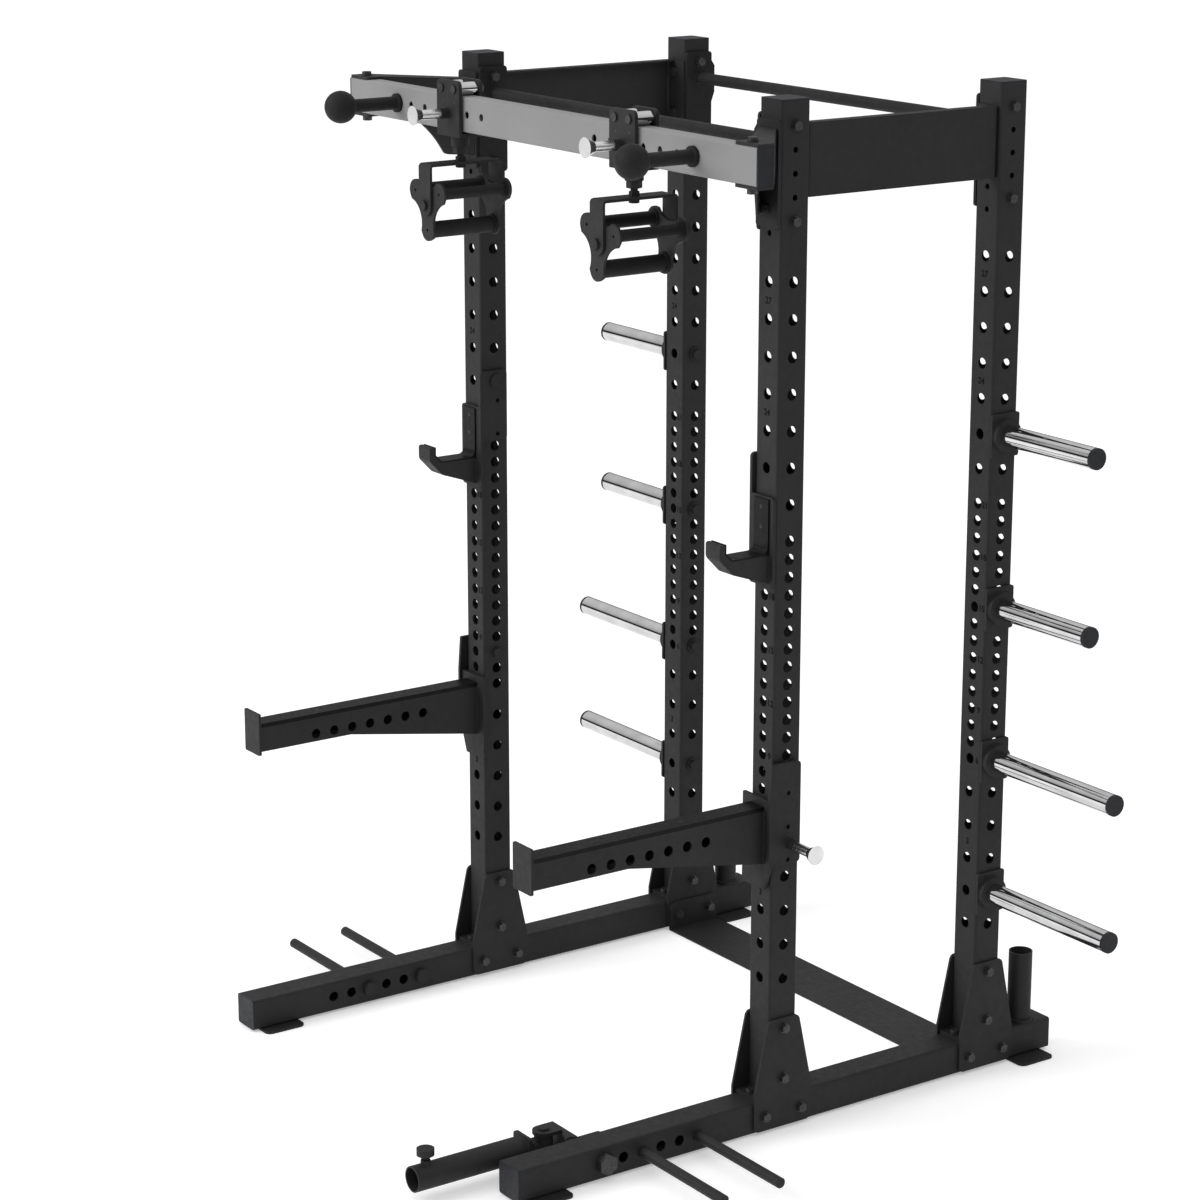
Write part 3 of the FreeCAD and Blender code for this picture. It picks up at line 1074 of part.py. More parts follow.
def pull_pin(name, axis, outward, nose, barrel_end, places):
    """A sprung pin: nose and shank in the barrel, chrome stem, and a flared handle."""
    sign = "+" if outward > 0 else "-"

    def span(first, second):
        return (first, second) if outward > 0 else (second, first)

    stem_start = f"({barrel_end}) {sign} running_gap"
    stem_end = f"({stem_start}) {sign} pin_stem_long"
    knob_end = f"({stem_end}) {sign} pin_knob_long"
    knob_sizes = ("pin_knob_waist", "pin_knob") if outward > 0 else ("pin_knob", "pin_knob_waist")
    return (fuse(name + "Shaft", [
        rod(name + "Nose", "pin_size", axis, *span(nose, stem_end), places),
        rod(name + "Stem", "pin_stem", axis, *span(stem_start, stem_end), places),
    ]), taper(name + "Knob", *knob_sizes, axis, *span(stem_end, knob_end), places))


right = carriage()
subpart("carriage_frame_right", right)
subpart("carriage_frame_left", mirrored("CarriageLeft", right))
right = carriage_bolts()
subpart("carriage_bolts_right", right)
subpart("carriage_bolts_left", mirrored("CarriageBoltsLeft", right))
for place, step in (("inner", "-1"), ("outer", "1")):
    right = roller(step)
    subpart(f"roller_{place}_right", right)
    subpart(f"roller_{place}_left", mirrored(f"RollerLeft{place}", right))
shaft, knob = pull_pin("CarriagePin", "y", -1, f"-{BEAM_FRONT} - pin_nose_gap",
                       f"-{CAR_FRONT_OUT} - pin_barrel_long", (CAR_X, BEAM_Z))
right = fuse("CarriagePinWhole", [shaft, knob])
subpart("carriage_pin_right", right)
subpart("carriage_pin_left", mirrored("CarriagePinLeft", right))

# Hangers: a swivel bolt and a strap with two legs, and between the legs a turning set of three grips
STRAP_TOP = f"({CAR_LOW} - strap_drop)"
ROTOR_Z = f"({STRAP_TOP} - rotor_drop)"
STRAP_HALF = "(strap_long / 2)"
LEG_IN = "(strap_long / 2 - strap_thick)"


def hanger():
    """The strap and its swivel bolt, whose head turns on the carriage's floor plate."""
    leg_low = f"{ROTOR_Z} - strap_width / 2"
    corners = [(f"-beam_y - {STRAP_HALF}", leg_low), (f"-beam_y - {LEG_IN}", leg_low),
               (f"-beam_y - {LEG_IN}", f"{STRAP_TOP} - strap_thick"),
               (f"-beam_y + {LEG_IN}", f"{STRAP_TOP} - strap_thick"),
               (f"-beam_y + {LEG_IN}", leg_low), (f"-beam_y + {STRAP_HALF}", leg_low),
               (f"-beam_y + {STRAP_HALF}", STRAP_TOP), (f"-beam_y - {STRAP_HALF}", STRAP_TOP)]
    bent = plate("Strap", "x", f"{CAR_X} - strap_width / 2", f"{CAR_X} + strap_width / 2", corners,
                 [((6, 7), "strap_bend"), ((2, 3), "strap_bend - strap_thick")])
    legs = fuse("StrapLegs", [
        rod("LegEnd", "strap_width", "y", f"-beam_y - {STRAP_HALF}", f"-beam_y + {STRAP_HALF}", (CAR_X, ROTOR_Z)),
        box("LegBody", (f"{CAR_X} - strap_width / 2", f"{CAR_X} + strap_width / 2"),
            (f"-beam_y - {STRAP_HALF}", f"-beam_y + {STRAP_HALF}"), (ROTOR_Z, STRAP_TOP)),
    ])
    shaped = doc.addObject("Part::Common", "StrapShaped")
    shaped.Base = bent
    shaped.Tool = legs
    head_low = f"{CAR_LOW} + carriage_plate + running_gap"
    place = (CAR_X, "-beam_y")
    shank = rod("SwivelShank", "swivel_size", "z", f"{STRAP_TOP} - strap_thick - swivel_end",
                f"{head_low}", place)
    pieces = [shaped, shank,
              rod("SwivelHead", "swivel_head_size", "z", head_low, f"{head_low} + swivel_head", place),
              hexagon("SwivelNut", "swivel_across", "z", STRAP_TOP, f"{STRAP_TOP} + swivel_nut", place),
              hexagon("SwivelEnd", "swivel_across", "z", f"{STRAP_TOP} - strap_thick - swivel_end",
                      f"{STRAP_TOP} - strap_thick", place)]
    for end in ("-1", "1"):
        low, high = ((f"-beam_y - {STRAP_HALF} - pivot_head_thick", f"-beam_y - {LEG_IN}") if end == "-1"
                     else (f"-beam_y + {LEG_IN}", f"-beam_y + {STRAP_HALF} + pivot_head_thick"))
        face_low, face_high = ((f"-beam_y - {STRAP_HALF} - pivot_head_thick", f"-beam_y - {STRAP_HALF}")
                               if end == "-1" else
                               (f"-beam_y + {STRAP_HALF}", f"-beam_y + {STRAP_HALF} + pivot_head_thick"))
        inner_low, inner_high = ((f"-beam_y - {LEG_IN}", f"-beam_y - {LEG_IN} + rotor_plate + rotor_gap")
                                 if end == "-1" else
                                 (f"-beam_y + {LEG_IN} - rotor_plate - rotor_gap", f"-beam_y + {LEG_IN}"))
        pieces += [rod(f"PivotEnd{end}", "pivot_head", "y", face_low, face_high, (CAR_X, ROTOR_Z)),
                   rod(f"PivotShank{end}", "rotor_pivot", "y", inner_low, inner_high, (CAR_X, ROTOR_Z))]
    return fuse("Hanger", pieces)


def turned_piece(thing, side, turn):
    """Puts a piece made about the origin on the pivot, turned about Y."""
    thing.Placement = FreeCAD.Placement(Vector(), Rotation(Vector(0, -1, 0), 0))
    bind(thing, Placement__Rotation__Angle=turn)
    at(thing, "x", f"{side} * {CAR_X}")
    at(thing, "y", "-beam_y")
    at(thing, "z", ROTOR_Z)
    return thing


LOBES = (("30", "grip_thin"), ("150", "grip_mid"), ("270", "grip_thick"))
ROTOR_OUT = f"({LEG_IN} - rotor_gap)"
ROTOR_IN = f"({ROTOR_OUT} - rotor_plate)"


def lobed_plate(name, low, high):
    """Three round lobes with hollow sides between them, each side an arc that meets two lobes."""
    lobe = "(rotor_lobe / 2)"
    hollow = (f"((rotor_waist ^ 2 + rotor_reach ^ 2 - rotor_reach * rotor_waist - {lobe} ^ 2)"
              f" / (rotor_lobe + rotor_reach - 2 * rotor_waist))")
    corners = []
    for angle, grip in LOBES:
        for side in ("- 60", "+ 60"):
            corners.append((f"rotor_reach * cos({angle}) + {lobe} * cos({angle} {side})",
                            f"rotor_reach * sin({angle}) + {lobe} * sin({angle} {side})"))
    lobes = [rod(f"{name}Lobe{angle}", "rotor_lobe", "y", low, high,
                 (f"rotor_reach * cos({angle})", f"rotor_reach * sin({angle})")) for angle, grip in LOBES]
    hollows = [rod(f"{name}Hollow{angle}", f"2 * {hollow}", "y", f"{low} - rotor_plate", f"{high} + rotor_plate",
                   (f"(rotor_waist + {hollow}) * cos({angle} + 60)",
                    f"(rotor_waist + {hollow}) * sin({angle} + 60)")) for angle, grip in LOBES]
    screws = [rod(f"{name}Screw{angle}", "guide_hole", "y", f"{low} - rotor_plate", f"{high} + rotor_plate",
                  (f"rotor_reach * cos({angle})", f"rotor_reach * sin({angle})")) for angle, grip in LOBES]
    pivot = rod(name + "Pivot", "rotor_pivot + 2 * running_gap", "y", f"{low} - rotor_plate",
                f"{high} + rotor_plate", ("0", "0"))
    body = plate(name + "Middle", "y", low, high, corners)
    return cut(name, fuse(name + "Full", [body] + lobes), hollows + screws + [pivot])


def grip(name, angle, diameter):
    """A grip between the two plates, with a wider collar at each end."""
    place = (f"rotor_reach * cos({angle})", f"rotor_reach * sin({angle})")
    return fuse(name, [
        rod(name + "Bar", diameter, "y", f"-{ROTOR_IN}", ROTOR_IN, place),
        rod(name + "Front", f"{diameter} + grip_collar", "y", f"-{ROTOR_IN}", f"-{ROTOR_IN} + grip_collar_thick", place),
        rod(name + "Back", f"{diameter} + grip_collar", "y", f"{ROTOR_IN} - grip_collar_thick", ROTOR_IN, place),
    ])


right = hanger()
subpart("hanger_strap_right", right)
subpart("hanger_strap_left", mirrored("HangerLeft", right))
for side, side_sign in SIDES:
    turn = f"rotor_turn_{side}"
    plates = group(f"RotorPlates{side}", [lobed_plate(f"RotorFront{side}", f"-{ROTOR_OUT}", f"-{ROTOR_IN}"),
                                          lobed_plate(f"RotorBack{side}", ROTOR_IN, ROTOR_OUT)])
    subpart(f"rotor_plates_{side}", turned_piece(plates, side_sign, turn))
    grips = group(f"Grips{side}", [grip(f"Grip{side}{angle}", angle, diameter) for angle, diameter in LOBES])
    subpart(f"rotor_grips_{side}", turned_piece(grips, side_sign, turn))

# J-cups: a side plate with the fixed pin, a front plate and a hook, and a plastic liner
CUP_Z = hole_height(CUP_HOLE)
CUP_SIDE_IN = f"({INNER} - cup_gap)"
CUP_SIDE_OUT = f"({CUP_SIDE_IN} - cup_side_thick)"
CUP_BACK = f"({FRONT} + cup_gap)"
CUP_STEEL = f"({CUP_BACK} + cup_front_thick)"
CUP_FACE = f"({CUP_STEEL} + cup_liner)"
HOOK_LOW_X = f"({POST_X} - cup_hook_width / 2)"
HOOK_HIGH_X = f"({POST_X} + cup_hook_width / 2)"
CUP_LIP = f"({CUP_FACE} + cup_hook_reach)"
CUP_LIP_IN = f"({CUP_LIP} - cup_lip_thick)"


side_plate = plate("CupSide", "x", CUP_SIDE_OUT, CUP_SIDE_IN,
                   square(f"-{CUP_STEEL}", f"-{POST_Y} + cup_side_rear",
                          f"{CUP_Z} - cup_side_low", f"{CUP_Z} + cup_side_rise"),
                   [((1, 2, 3), "cup_round")],
                   [(f"-{POST_Y} + side_hole_back", f"{CUP_Z} - {drop}", "side_hole")
                    for drop in ("cup_hole_high", "cup_hole_low")])
front_plate = plate("CupFront", "y", f"-{CUP_STEEL}", f"-{CUP_BACK}",
                    square(CUP_SIDE_OUT, OUTER, f"{CUP_Z} - cup_plate_low", f"{CUP_Z} - cup_plate_high"),
                    [((0, 1, 2), "cup_round")])
hook_points = [(f"-{CUP_STEEL}", f"{CUP_Z} - cup_hook_low"),
               (f"-{CUP_STEEL}", f"{CUP_Z} - cup_hook_floor"),
               (f"-{CUP_LIP_IN} + cup_hook_toe", f"{CUP_Z} - cup_hook_floor"),
               (f"-{CUP_LIP_IN}", f"{CUP_Z} - cup_hook_floor + cup_hook_toe"),
               (f"-{CUP_LIP_IN}", f"{CUP_Z} - cup_lip_high"),
               (f"-{CUP_LIP}", f"{CUP_Z} - cup_lip_high"),
               (f"-{CUP_LIP}", f"{CUP_Z} - cup_lip_low"),
               (f"-{CUP_LIP} + cup_hook_step", f"{CUP_Z} - cup_hook_bend")]
hook = plate("CupHook", "x", HOOK_LOW_X, HOOK_HIGH_X, hook_points,
             [((4, 5), "cup_lip_round"), ((6, 7), "cup_hollow_round")])
pin = fuse("CupPin", [
    rod("CupPinRod", "cup_pin_size", "x", CUP_SIDE_OUT, f"{CUP_SIDE_OUT} + cup_pin_long", (f"-{POST_Y}", CUP_Z)),
    rod("CupPinDisc", "cup_pin_disc", "x", f"{CUP_SIDE_OUT} - cup_pin_disc_thick", CUP_SIDE_OUT,
        (f"-{POST_Y}", CUP_Z)),
])
cup = fuse("Cup", [side_plate, front_plate, hook, pin])
subpart("j_cup_right", cup)
subpart("j_cup_left", mirrored("CupLeft", cup))
liner_points = [(f"-{CUP_STEEL}", f"{CUP_Z} - cup_liner_top"),
                (f"-{CUP_FACE}", f"{CUP_Z} - cup_liner_top"),
                (f"-{CUP_FACE}", f"{CUP_Z} - cup_hook_floor + cup_liner"),
                (f"-{CUP_LIP_IN} + cup_hook_toe + cup_liner / 2", f"{CUP_Z} - cup_hook_floor + cup_liner"),
                (f"-{CUP_LIP_IN} + cup_liner", f"{CUP_Z} - cup_hook_floor + cup_hook_toe + cup_liner / 2"),
                (f"-{CUP_LIP_IN} + cup_liner", f"{CUP_Z} - cup_lip_high"),
                (f"-{CUP_LIP_IN}", f"{CUP_Z} - cup_lip_high"),
                (f"-{CUP_LIP_IN}", f"{CUP_Z} - cup_hook_floor + cup_hook_toe"),
                (f"-{CUP_LIP_IN} + cup_hook_toe", f"{CUP_Z} - cup_hook_floor"),
                (f"-{CUP_STEEL}", f"{CUP_Z} - cup_hook_floor")]
liner = plate("CupLiner", "x", HOOK_LOW_X, HOOK_HIGH_X, liner_points, [((2,), "cup_hollow_round")])
subpart("j_cup_liner_right", liner)
subpart("j_cup_liner_left", mirrored("CupLinerLeft", liner))

# Spotter arms: front plate, two side plates, the fixed pin, a box arm with holes and an end plate
SPOT_Z = hole_height(SPOT_HINGE_HOLE)
SPOT_PIN_Z = hole_height(SPOT_PIN_HOLE)
SPOT_BACK = f"({FRONT} + spot_front_gap)"
SPOT_FACE = f"({SPOT_BACK} + spot_front_thick)"
SPOT_OUT_IN = f"({OUTER} + spot_side_gap)"
SPOT_OUT_OUT = f"({SPOT_OUT_IN} + spot_side_thick)"
SPOT_IN_OUT = f"({INNER} - spot_side_gap)"
SPOT_IN_IN = f"({SPOT_IN_OUT} - spot_side_thick)"
REAR_Y = f"-{POST_Y} + spot_side_rear"


def below(text):
    """A height measured down from the spotter arms' fixed pin."""
    return f"{SPOT_Z} - ({text})"


front_plate = plate("SpotFront", "y", f"-{SPOT_FACE}", f"-{SPOT_BACK}",
                    [(SPOT_IN_IN, below("spot_front_low")), (f"{SPOT_OUT_OUT} - spot_slope", below("spot_front_low")),
                     (SPOT_OUT_OUT, below("spot_outer_low - spot_slope / 2")), (SPOT_OUT_OUT, below("spot_front_high")),
                     (SPOT_IN_IN, below("spot_front_high"))], [((0,), "spot_round")])
outer_side = plate("SpotOuter", "x", SPOT_OUT_IN, SPOT_OUT_OUT,
                   [(f"-{SPOT_FACE} - spot_outer_front", below("spot_outer_low")),
                    (REAR_Y, below("spot_outer_low")), (REAR_Y, f"{SPOT_Z} + spot_outer_rise"),
                    (f"-{SPOT_FACE}", f"{SPOT_Z} + spot_outer_rise"),
                    (f"-{SPOT_FACE} - spot_outer_front", below("spot_front_high"))],
                   [((1, 2), "spot_round"), ((3,), "spot_end_round")],
                   [(f"-{POST_Y} - spot_side_hole", below(drop), "side_hole")
                    for drop in ("spot_hole_high", "spot_hole_mid", "spot_hole_low")]
                   + [(f"-{POST_Y}", SPOT_PIN_Z, PIN_HOLE)])
inner_side = plate("SpotInner", "x", SPOT_IN_IN, SPOT_IN_OUT,
                   [(f"-{SPOT_FACE}", below("spot_inner_low")), (REAR_Y, below("spot_inner_low")),
                    (REAR_Y, below("spot_inner_high + spot_slope")),
                    (f"{REAR_Y} - spot_slope", below("spot_inner_high")),
                    (f"-{SPOT_FACE}", below("spot_inner_high"))],
                   [((1,), "spot_round")],
                   [(f"-{POST_Y} - spot_side_hole", below(drop), "side_hole")
                    for drop in ("spot_hole_upper", "spot_hole_low")])
SPOT_LEFT = f"({POST_X} - spot_width / 2)"
SPOT_RIGHT = f"({POST_X} + spot_width / 2)"
ARM_END = "(spot_tip - spot_end_thick)"
arm_points = [(f"-{SPOT_FACE}", below("spot_top")), (f"-{ARM_END}", below("spot_top")),
              (f"-{ARM_END}", below("spot_low")), ("-spot_knee", below("spot_low")),
              (f"-{SPOT_FACE}", below("spot_root"))]
hollow_points = [(f"-{SPOT_FACE}", below("spot_top + spot_wall")), (f"-{ARM_END}", below("spot_top + spot_wall")),
                 (f"-{ARM_END}", below("spot_low - spot_wall")), ("-spot_knee", below("spot_low - spot_wall")),
                 (f"-{SPOT_FACE}", below("spot_root - spot_wall"))]
arm_holes = [(f"-spot_hole_first - {step} * spot_hole_pitch", below("spot_hole_drop"), "spot_hole")
             for step in range(size["spot_hole_count"])]
arm = cut("SpotArm", plate("SpotArmOut", "x", SPOT_LEFT, SPOT_RIGHT, arm_points, (), arm_holes),
          [plate("SpotArmIn", "x", f"{SPOT_LEFT} + spot_wall", f"{SPOT_RIGHT} - spot_wall", hollow_points)])
end_plate = plate("SpotEnd", "y", "-spot_tip", f"-{ARM_END}",
                  square(f"{POST_X} - spot_end_width / 2", f"{POST_X} + spot_end_width / 2",
                         below("spot_end_low"), below("spot_end_high")), [((0, 1, 2, 3), "spot_end_round")])
pin = rod("SpotPin", "cup_pin_size", "x", f"{INNER} - spot_pin_out", SPOT_OUT_OUT, (f"-{POST_Y}", SPOT_Z))
barrel = cut("SpotBarrel",
             rod("SpotBarrelOut", "pin_barrel", "x", SPOT_OUT_OUT, f"{SPOT_OUT_OUT} + pin_barrel_long",
                 (f"-{POST_Y}", SPOT_PIN_Z)),
             [rod("SpotBarrelBore", PIN_HOLE, "x", SPOT_OUT_IN, f"{SPOT_OUT_OUT} + 2 * pin_barrel_long",
                  (f"-{POST_Y}", SPOT_PIN_Z))])
spotter = fuse("Spotter", [front_plate, outer_side, inner_side, arm, end_plate, pin, barrel])
subpart("spotter_arm_right", spotter)
subpart("spotter_arm_left", mirrored("SpotterLeft", spotter))
strip = box("SpotStrip", (SPOT_LEFT, SPOT_RIGHT), (f"-{ARM_END}", f"-{SPOT_FACE}"),
            (below("spot_top"), below("spot_top - spot_strip")))
subpart("spotter_strip_right", strip)
subpart("spotter_strip_left", mirrored("SpotStripLeft", strip))
shaft, knob = pull_pin("SpotPull", "x", 1, f"{OUTER} + pin_nose_gap", f"{SPOT_OUT_OUT} + pin_barrel_long",
                       (f"-{POST_Y}", SPOT_PIN_Z))
right = fuse("SpotPullWhole", [shaft, knob])
subpart("spotter_pin_right", right)
subpart("spotter_pin_left", mirrored("SpotPullLeft", right))

# Landmine on the right rail: a bracket with two ears, a universal block, a tube and its clamp screw
BASE_BACK = f"({INNER} - mine_plate)"
EAR_LOW = "(mine_axis - mine_ear_gap / 2)"
EAR_HIGH = "(mine_axis + mine_ear_gap / 2)"
BOLT_Y = "(band_hole_first + band_hole_gaps * band_hole_pitch)"
WEB_FRONT = "(mine_web_rear + mine_web)"
PITCH_Y = "(mine_y + mine_pitch_pin)"
FLANGE_Y = f"({PITCH_Y} + mine_flange_gap)"


def ear(name, low, high):
    half = "mine_ear_width / 2"
    return fuse(name, [
        box(name + "Flat", (f"mine_x - {half}", f"mine_x + {half}"), ("-mine_y", f"-{WEB_FRONT} + mine_web / 2"),
            (low, high)),
        rod(name + "Round", "mine_ear_width", "z", low, high, ("mine_x", "-mine_y")),
    ])


base = plate("MineBase", "x", BASE_BACK, INNER,
             square(f"-{BOLT_Y} - mine_base_width / 2", f"-{BOLT_Y} + mine_base_width / 2",
                    f"{RAIL_Z} - mine_base_tall / 2", f"{RAIL_Z} + mine_base_tall / 2"),
             [((0, 1, 2, 3), "foot_round / 2")], [(f"-{BOLT_Y}", RAIL_Z, "peg_bolt")])
web = box("MineWeb", ("mine_x - mine_ear_width / 2", f"{BASE_BACK} + mine_plate / 2"), (f"-{WEB_FRONT}", "-mine_web_rear"),
          (f"{EAR_LOW} - mine_plate", f"{EAR_HIGH} + mine_plate"))
brace = plate("MineBrace", "z", EAR_HIGH, f"{EAR_HIGH} + mine_plate",
              [("mine_x + mine_ear_width / 2", f"-{WEB_FRONT}"), (BASE_BACK, f"-{WEB_FRONT} - mine_web_gusset"),
               (BASE_BACK, f"-{WEB_FRONT}")])
pins_low, pins_high = f"{EAR_LOW} - mine_plate", f"{EAR_HIGH} + mine_plate"
yaw_bolt = [rod("MineYawTop", "mine_pin_head", "z", pins_high, f"{pins_high} + mine_pin_head_thick", ("mine_x", "-mine_y")),
            rod("MineYawLow", "mine_pin_head", "z", f"{pins_low} - mine_pin_head_thick", pins_low, ("mine_x", "-mine_y")),
            rod("MineYawPin", "mine_pin", "z", pins_low, pins_high, ("mine_x", "-mine_y"))]
mine_bolt = [rod("MineBolt", "peg_bolt", "x", f"{BASE_BACK} - nut_tall", f"{OUTER} + mine_hex_thick", (f"-{BOLT_Y}", RAIL_Z)),
             hexagon("MineNut", "mine_pin_head + peg_bolt / 2", "x", f"{BASE_BACK} - nut_tall", BASE_BACK, (f"-{BOLT_Y}", RAIL_Z)),
             hexagon("MineHex", "mine_hex", "x", OUTER, f"{OUTER} + mine_hex_thick", (f"-{BOLT_Y}", RAIL_Z))]
subpart("landmine_bracket", fuse("MineBracket", [base, web, brace, ear("MineEarTop", EAR_HIGH, pins_high),
                                                 ear("MineEarLow", pins_low, EAR_LOW)] + yaw_bolt))
subpart("landmine_bolt", fuse("MineBoltWhole", mine_bolt))

block = fuse("MineBlockFull", [
    rod("MineBlockRound", "mine_block", "z", f"{EAR_LOW} + running_gap", f"{EAR_HIGH} - running_gap", ("mine_x", "-mine_y")),
    box("MineTongue", ("mine_x - mine_tongue / 2", "mine_x + mine_tongue / 2"), (f"-{PITCH_Y}", "-mine_y"),
        ("mine_axis - mine_knuckle / 2", "mine_axis + mine_knuckle / 2")),
    rod("MineTongueRound", "mine_knuckle", "x", "mine_x - mine_tongue / 2", "mine_x + mine_tongue / 2",
        (f"-{PITCH_Y}", "mine_axis")),
])
fork_out = "(mine_tongue / 2 + running_gap + mine_fork)"
pitch_pin = [rod("MinePitchPin", "mine_pin", "x", f"mine_x - {fork_out} - mine_pin_head_thick",
                 f"mine_x + {fork_out} + mine_pin_head_thick", (f"-{PITCH_Y}", "mine_axis"))]
pitch_pin += [rod(f"MinePitchHead{number}", "mine_pin_head", "x", low, high, (f"-{PITCH_Y}", "mine_axis"))
              for number, (low, high) in enumerate((
                  (f"mine_x - {fork_out} - mine_pin_head_thick", f"mine_x - {fork_out} - running_gap"),
                  (f"mine_x + {fork_out} + running_gap", f"mine_x + {fork_out} + mine_pin_head_thick")))]
bore = rod("MineBlockBore", "mine_pin + 2 * running_gap", "z", pins_low, pins_high, ("mine_x", "-mine_y"))
subpart("landmine_block", fuse("MineBlock", [cut("MineBlockCut", block, [bore])] + pitch_pin))


def fork_plate(name, low, high):
    return fuse(name, [
        box(name + "Flat", (low, high), (f"-{FLANGE_Y} - mine_flange_thick / 2", f"-{PITCH_Y}"),
            ("mine_axis - mine_knuckle / 2", "mine_axis + mine_knuckle / 2")),
        rod(name + "Round", "mine_knuckle", "x", low, high, (f"-{PITCH_Y}", "mine_axis")),
    ])


forks = [fork_plate("MineForkLow", f"mine_x - {fork_out}", "mine_x - mine_tongue / 2 - running_gap"),
         fork_plate("MineForkHigh", "mine_x + mine_tongue / 2 + running_gap", f"mine_x + {fork_out}")]
flange = plate("MineFlange", "y", f"-{FLANGE_Y} - mine_flange_thick", f"-{FLANGE_Y}",
               square("mine_x - mine_flange / 2", "mine_x + mine_flange / 2",
                      "mine_axis - mine_flange / 2", "mine_axis + mine_flange / 2"),
               [((0, 1, 2, 3), "foot_round / 2")])
tube_place = ("mine_x", "mine_axis")
SCREW_Y = "(mine_tube_end - mine_screw_back)"
TUBE_TOP = "(mine_axis + mine_tube / 2)"
tube = fuse("MineTubeOut", [
    rod("MineTubeRod", "mine_tube", "y", "-mine_tube_end", f"-{FLANGE_Y} - mine_flange_thick", tube_place),
    rod("MineBoss", "mine_boss", "z", "mine_axis", f"{TUBE_TOP} + mine_boss_tall", ("mine_x", f"-{SCREW_Y}")),
])
tube = cut("MineTube", tube, [
    rod("MineTubeBore", "mine_tube - 2 * mine_tube_wall", "y", "-mine_tube_end - cap_plug",
        f"-{FLANGE_Y} - mine_flange_thick", tube_place),
    rod("MineScrewHole", "mine_screw + 2 * running_gap", "z", "mine_axis", f"{TUBE_TOP} + 2 * mine_boss_tall",
        ("mine_x", f"-{SCREW_Y}")),
])
forked = cut("MineForks", fuse("MineForksFull", forks), [
    rod("MineForkBore", "mine_pin + 2 * running_gap", "x", f"mine_x - 2 * {fork_out}", f"mine_x + 2 * {fork_out}",
        (f"-{PITCH_Y}", "mine_axis"))])
subpart("landmine_tube", fuse("MineTubeWhole", [forked, flange, tube]))
knob_low = f"({TUBE_TOP} + mine_boss_tall + mine_screw_stem)"
screw_place = ("mine_x", f"-{SCREW_Y}")
subpart("landmine_screw", fuse("MineScrewWhole", [
    rod("MineScrew", "mine_screw", "z", f"{TUBE_TOP} - mine_tube_wall", knob_low, screw_place),
    taper("MineKnobNeck", "mine_screw + mine_boss_tall", "mine_knob - mine_boss_tall", "z",
          f"{knob_low} - mine_boss_tall", knob_low, screw_place),
    rod("MineKnob", "mine_knob", "z", knob_low, f"{knob_low} + mine_knob_thick", screw_place),
]))

doc.recompute()
for thing in doc.Objects:
    if "Invalid" in thing.State or "Error" in thing.State:
        raise RuntimeError(f"{thing.Label} could not be built: {thing.State}")
for thing in subparts:
    if thing.Shape.isNull() or not thing.Shape.isValid():
        raise RuntimeError(f"{thing.Label} has no valid shape")

os.makedirs("parts", exist_ok=True)
for thing in subparts:
    thing.Shape.exportStep(f"parts/{thing.Label}.step")
    print(thing.Label, len(thing.Shape.Solids), "solids,", round(thing.Shape.Volume / 1000), "cm3")
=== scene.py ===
import json
from math import cos, pi, radians, sin

import bmesh
import bpy
from mathutils import Matrix, Vector


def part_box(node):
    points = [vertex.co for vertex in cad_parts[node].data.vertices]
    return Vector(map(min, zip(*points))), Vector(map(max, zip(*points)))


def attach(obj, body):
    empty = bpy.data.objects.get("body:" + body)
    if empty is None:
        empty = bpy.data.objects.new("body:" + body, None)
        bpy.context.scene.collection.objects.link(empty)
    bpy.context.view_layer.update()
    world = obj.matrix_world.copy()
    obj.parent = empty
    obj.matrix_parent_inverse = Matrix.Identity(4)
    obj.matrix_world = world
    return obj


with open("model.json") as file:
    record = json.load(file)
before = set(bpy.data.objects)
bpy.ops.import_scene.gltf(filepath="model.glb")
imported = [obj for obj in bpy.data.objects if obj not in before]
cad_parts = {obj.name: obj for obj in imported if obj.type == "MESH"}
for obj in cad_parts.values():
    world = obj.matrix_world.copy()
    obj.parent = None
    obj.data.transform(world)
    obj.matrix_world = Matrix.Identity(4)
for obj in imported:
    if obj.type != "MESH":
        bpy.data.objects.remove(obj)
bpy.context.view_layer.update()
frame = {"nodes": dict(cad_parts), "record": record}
nodes = frame["nodes"]
SIDES = (("right", 1), ("left", -1))
MM = 0.001
NOISE_LOW, NOISE_HIGH = 0.3, 0.7


# Materials: every colour, roughness and bump follows object coordinates, in metres
def new_material(name, base, roughness, metallic=0.0):
    """A material with plain values, its node tree, its shader and the object coordinates."""
    material = bpy.data.materials.new(name)
    material.use_nodes = True
    tree = material.node_tree
    shader = tree.nodes["Principled BSDF"]
    shader.inputs["Base Color"].default_value = (*base, 1)
    shader.inputs["Roughness"].default_value = roughness
    shader.inputs["Metallic"].default_value = metallic
    place = tree.nodes.new("ShaderNodeTexCoord")
    return material, tree, shader, place.outputs["Object"]


def noise(tree, place, scale, detail=2.0, stretch=None):
    """Noise on the object's coordinates, drawn out where stretch gives factors for X, Y and Z."""
    if stretch:
        mapping = tree.nodes.new("ShaderNodeMapping")
        mapping.inputs["Scale"].default_value = stretch
        tree.links.new(place, mapping.inputs["Vector"])
        place = mapping.outputs["Vector"]
    node = tree.nodes.new("ShaderNodeTexNoise")
    node.inputs["Scale"].default_value = scale
    node.inputs["Detail"].default_value = detail
    tree.links.new(place, node.inputs["Vector"])
    return node.outputs["Fac"]


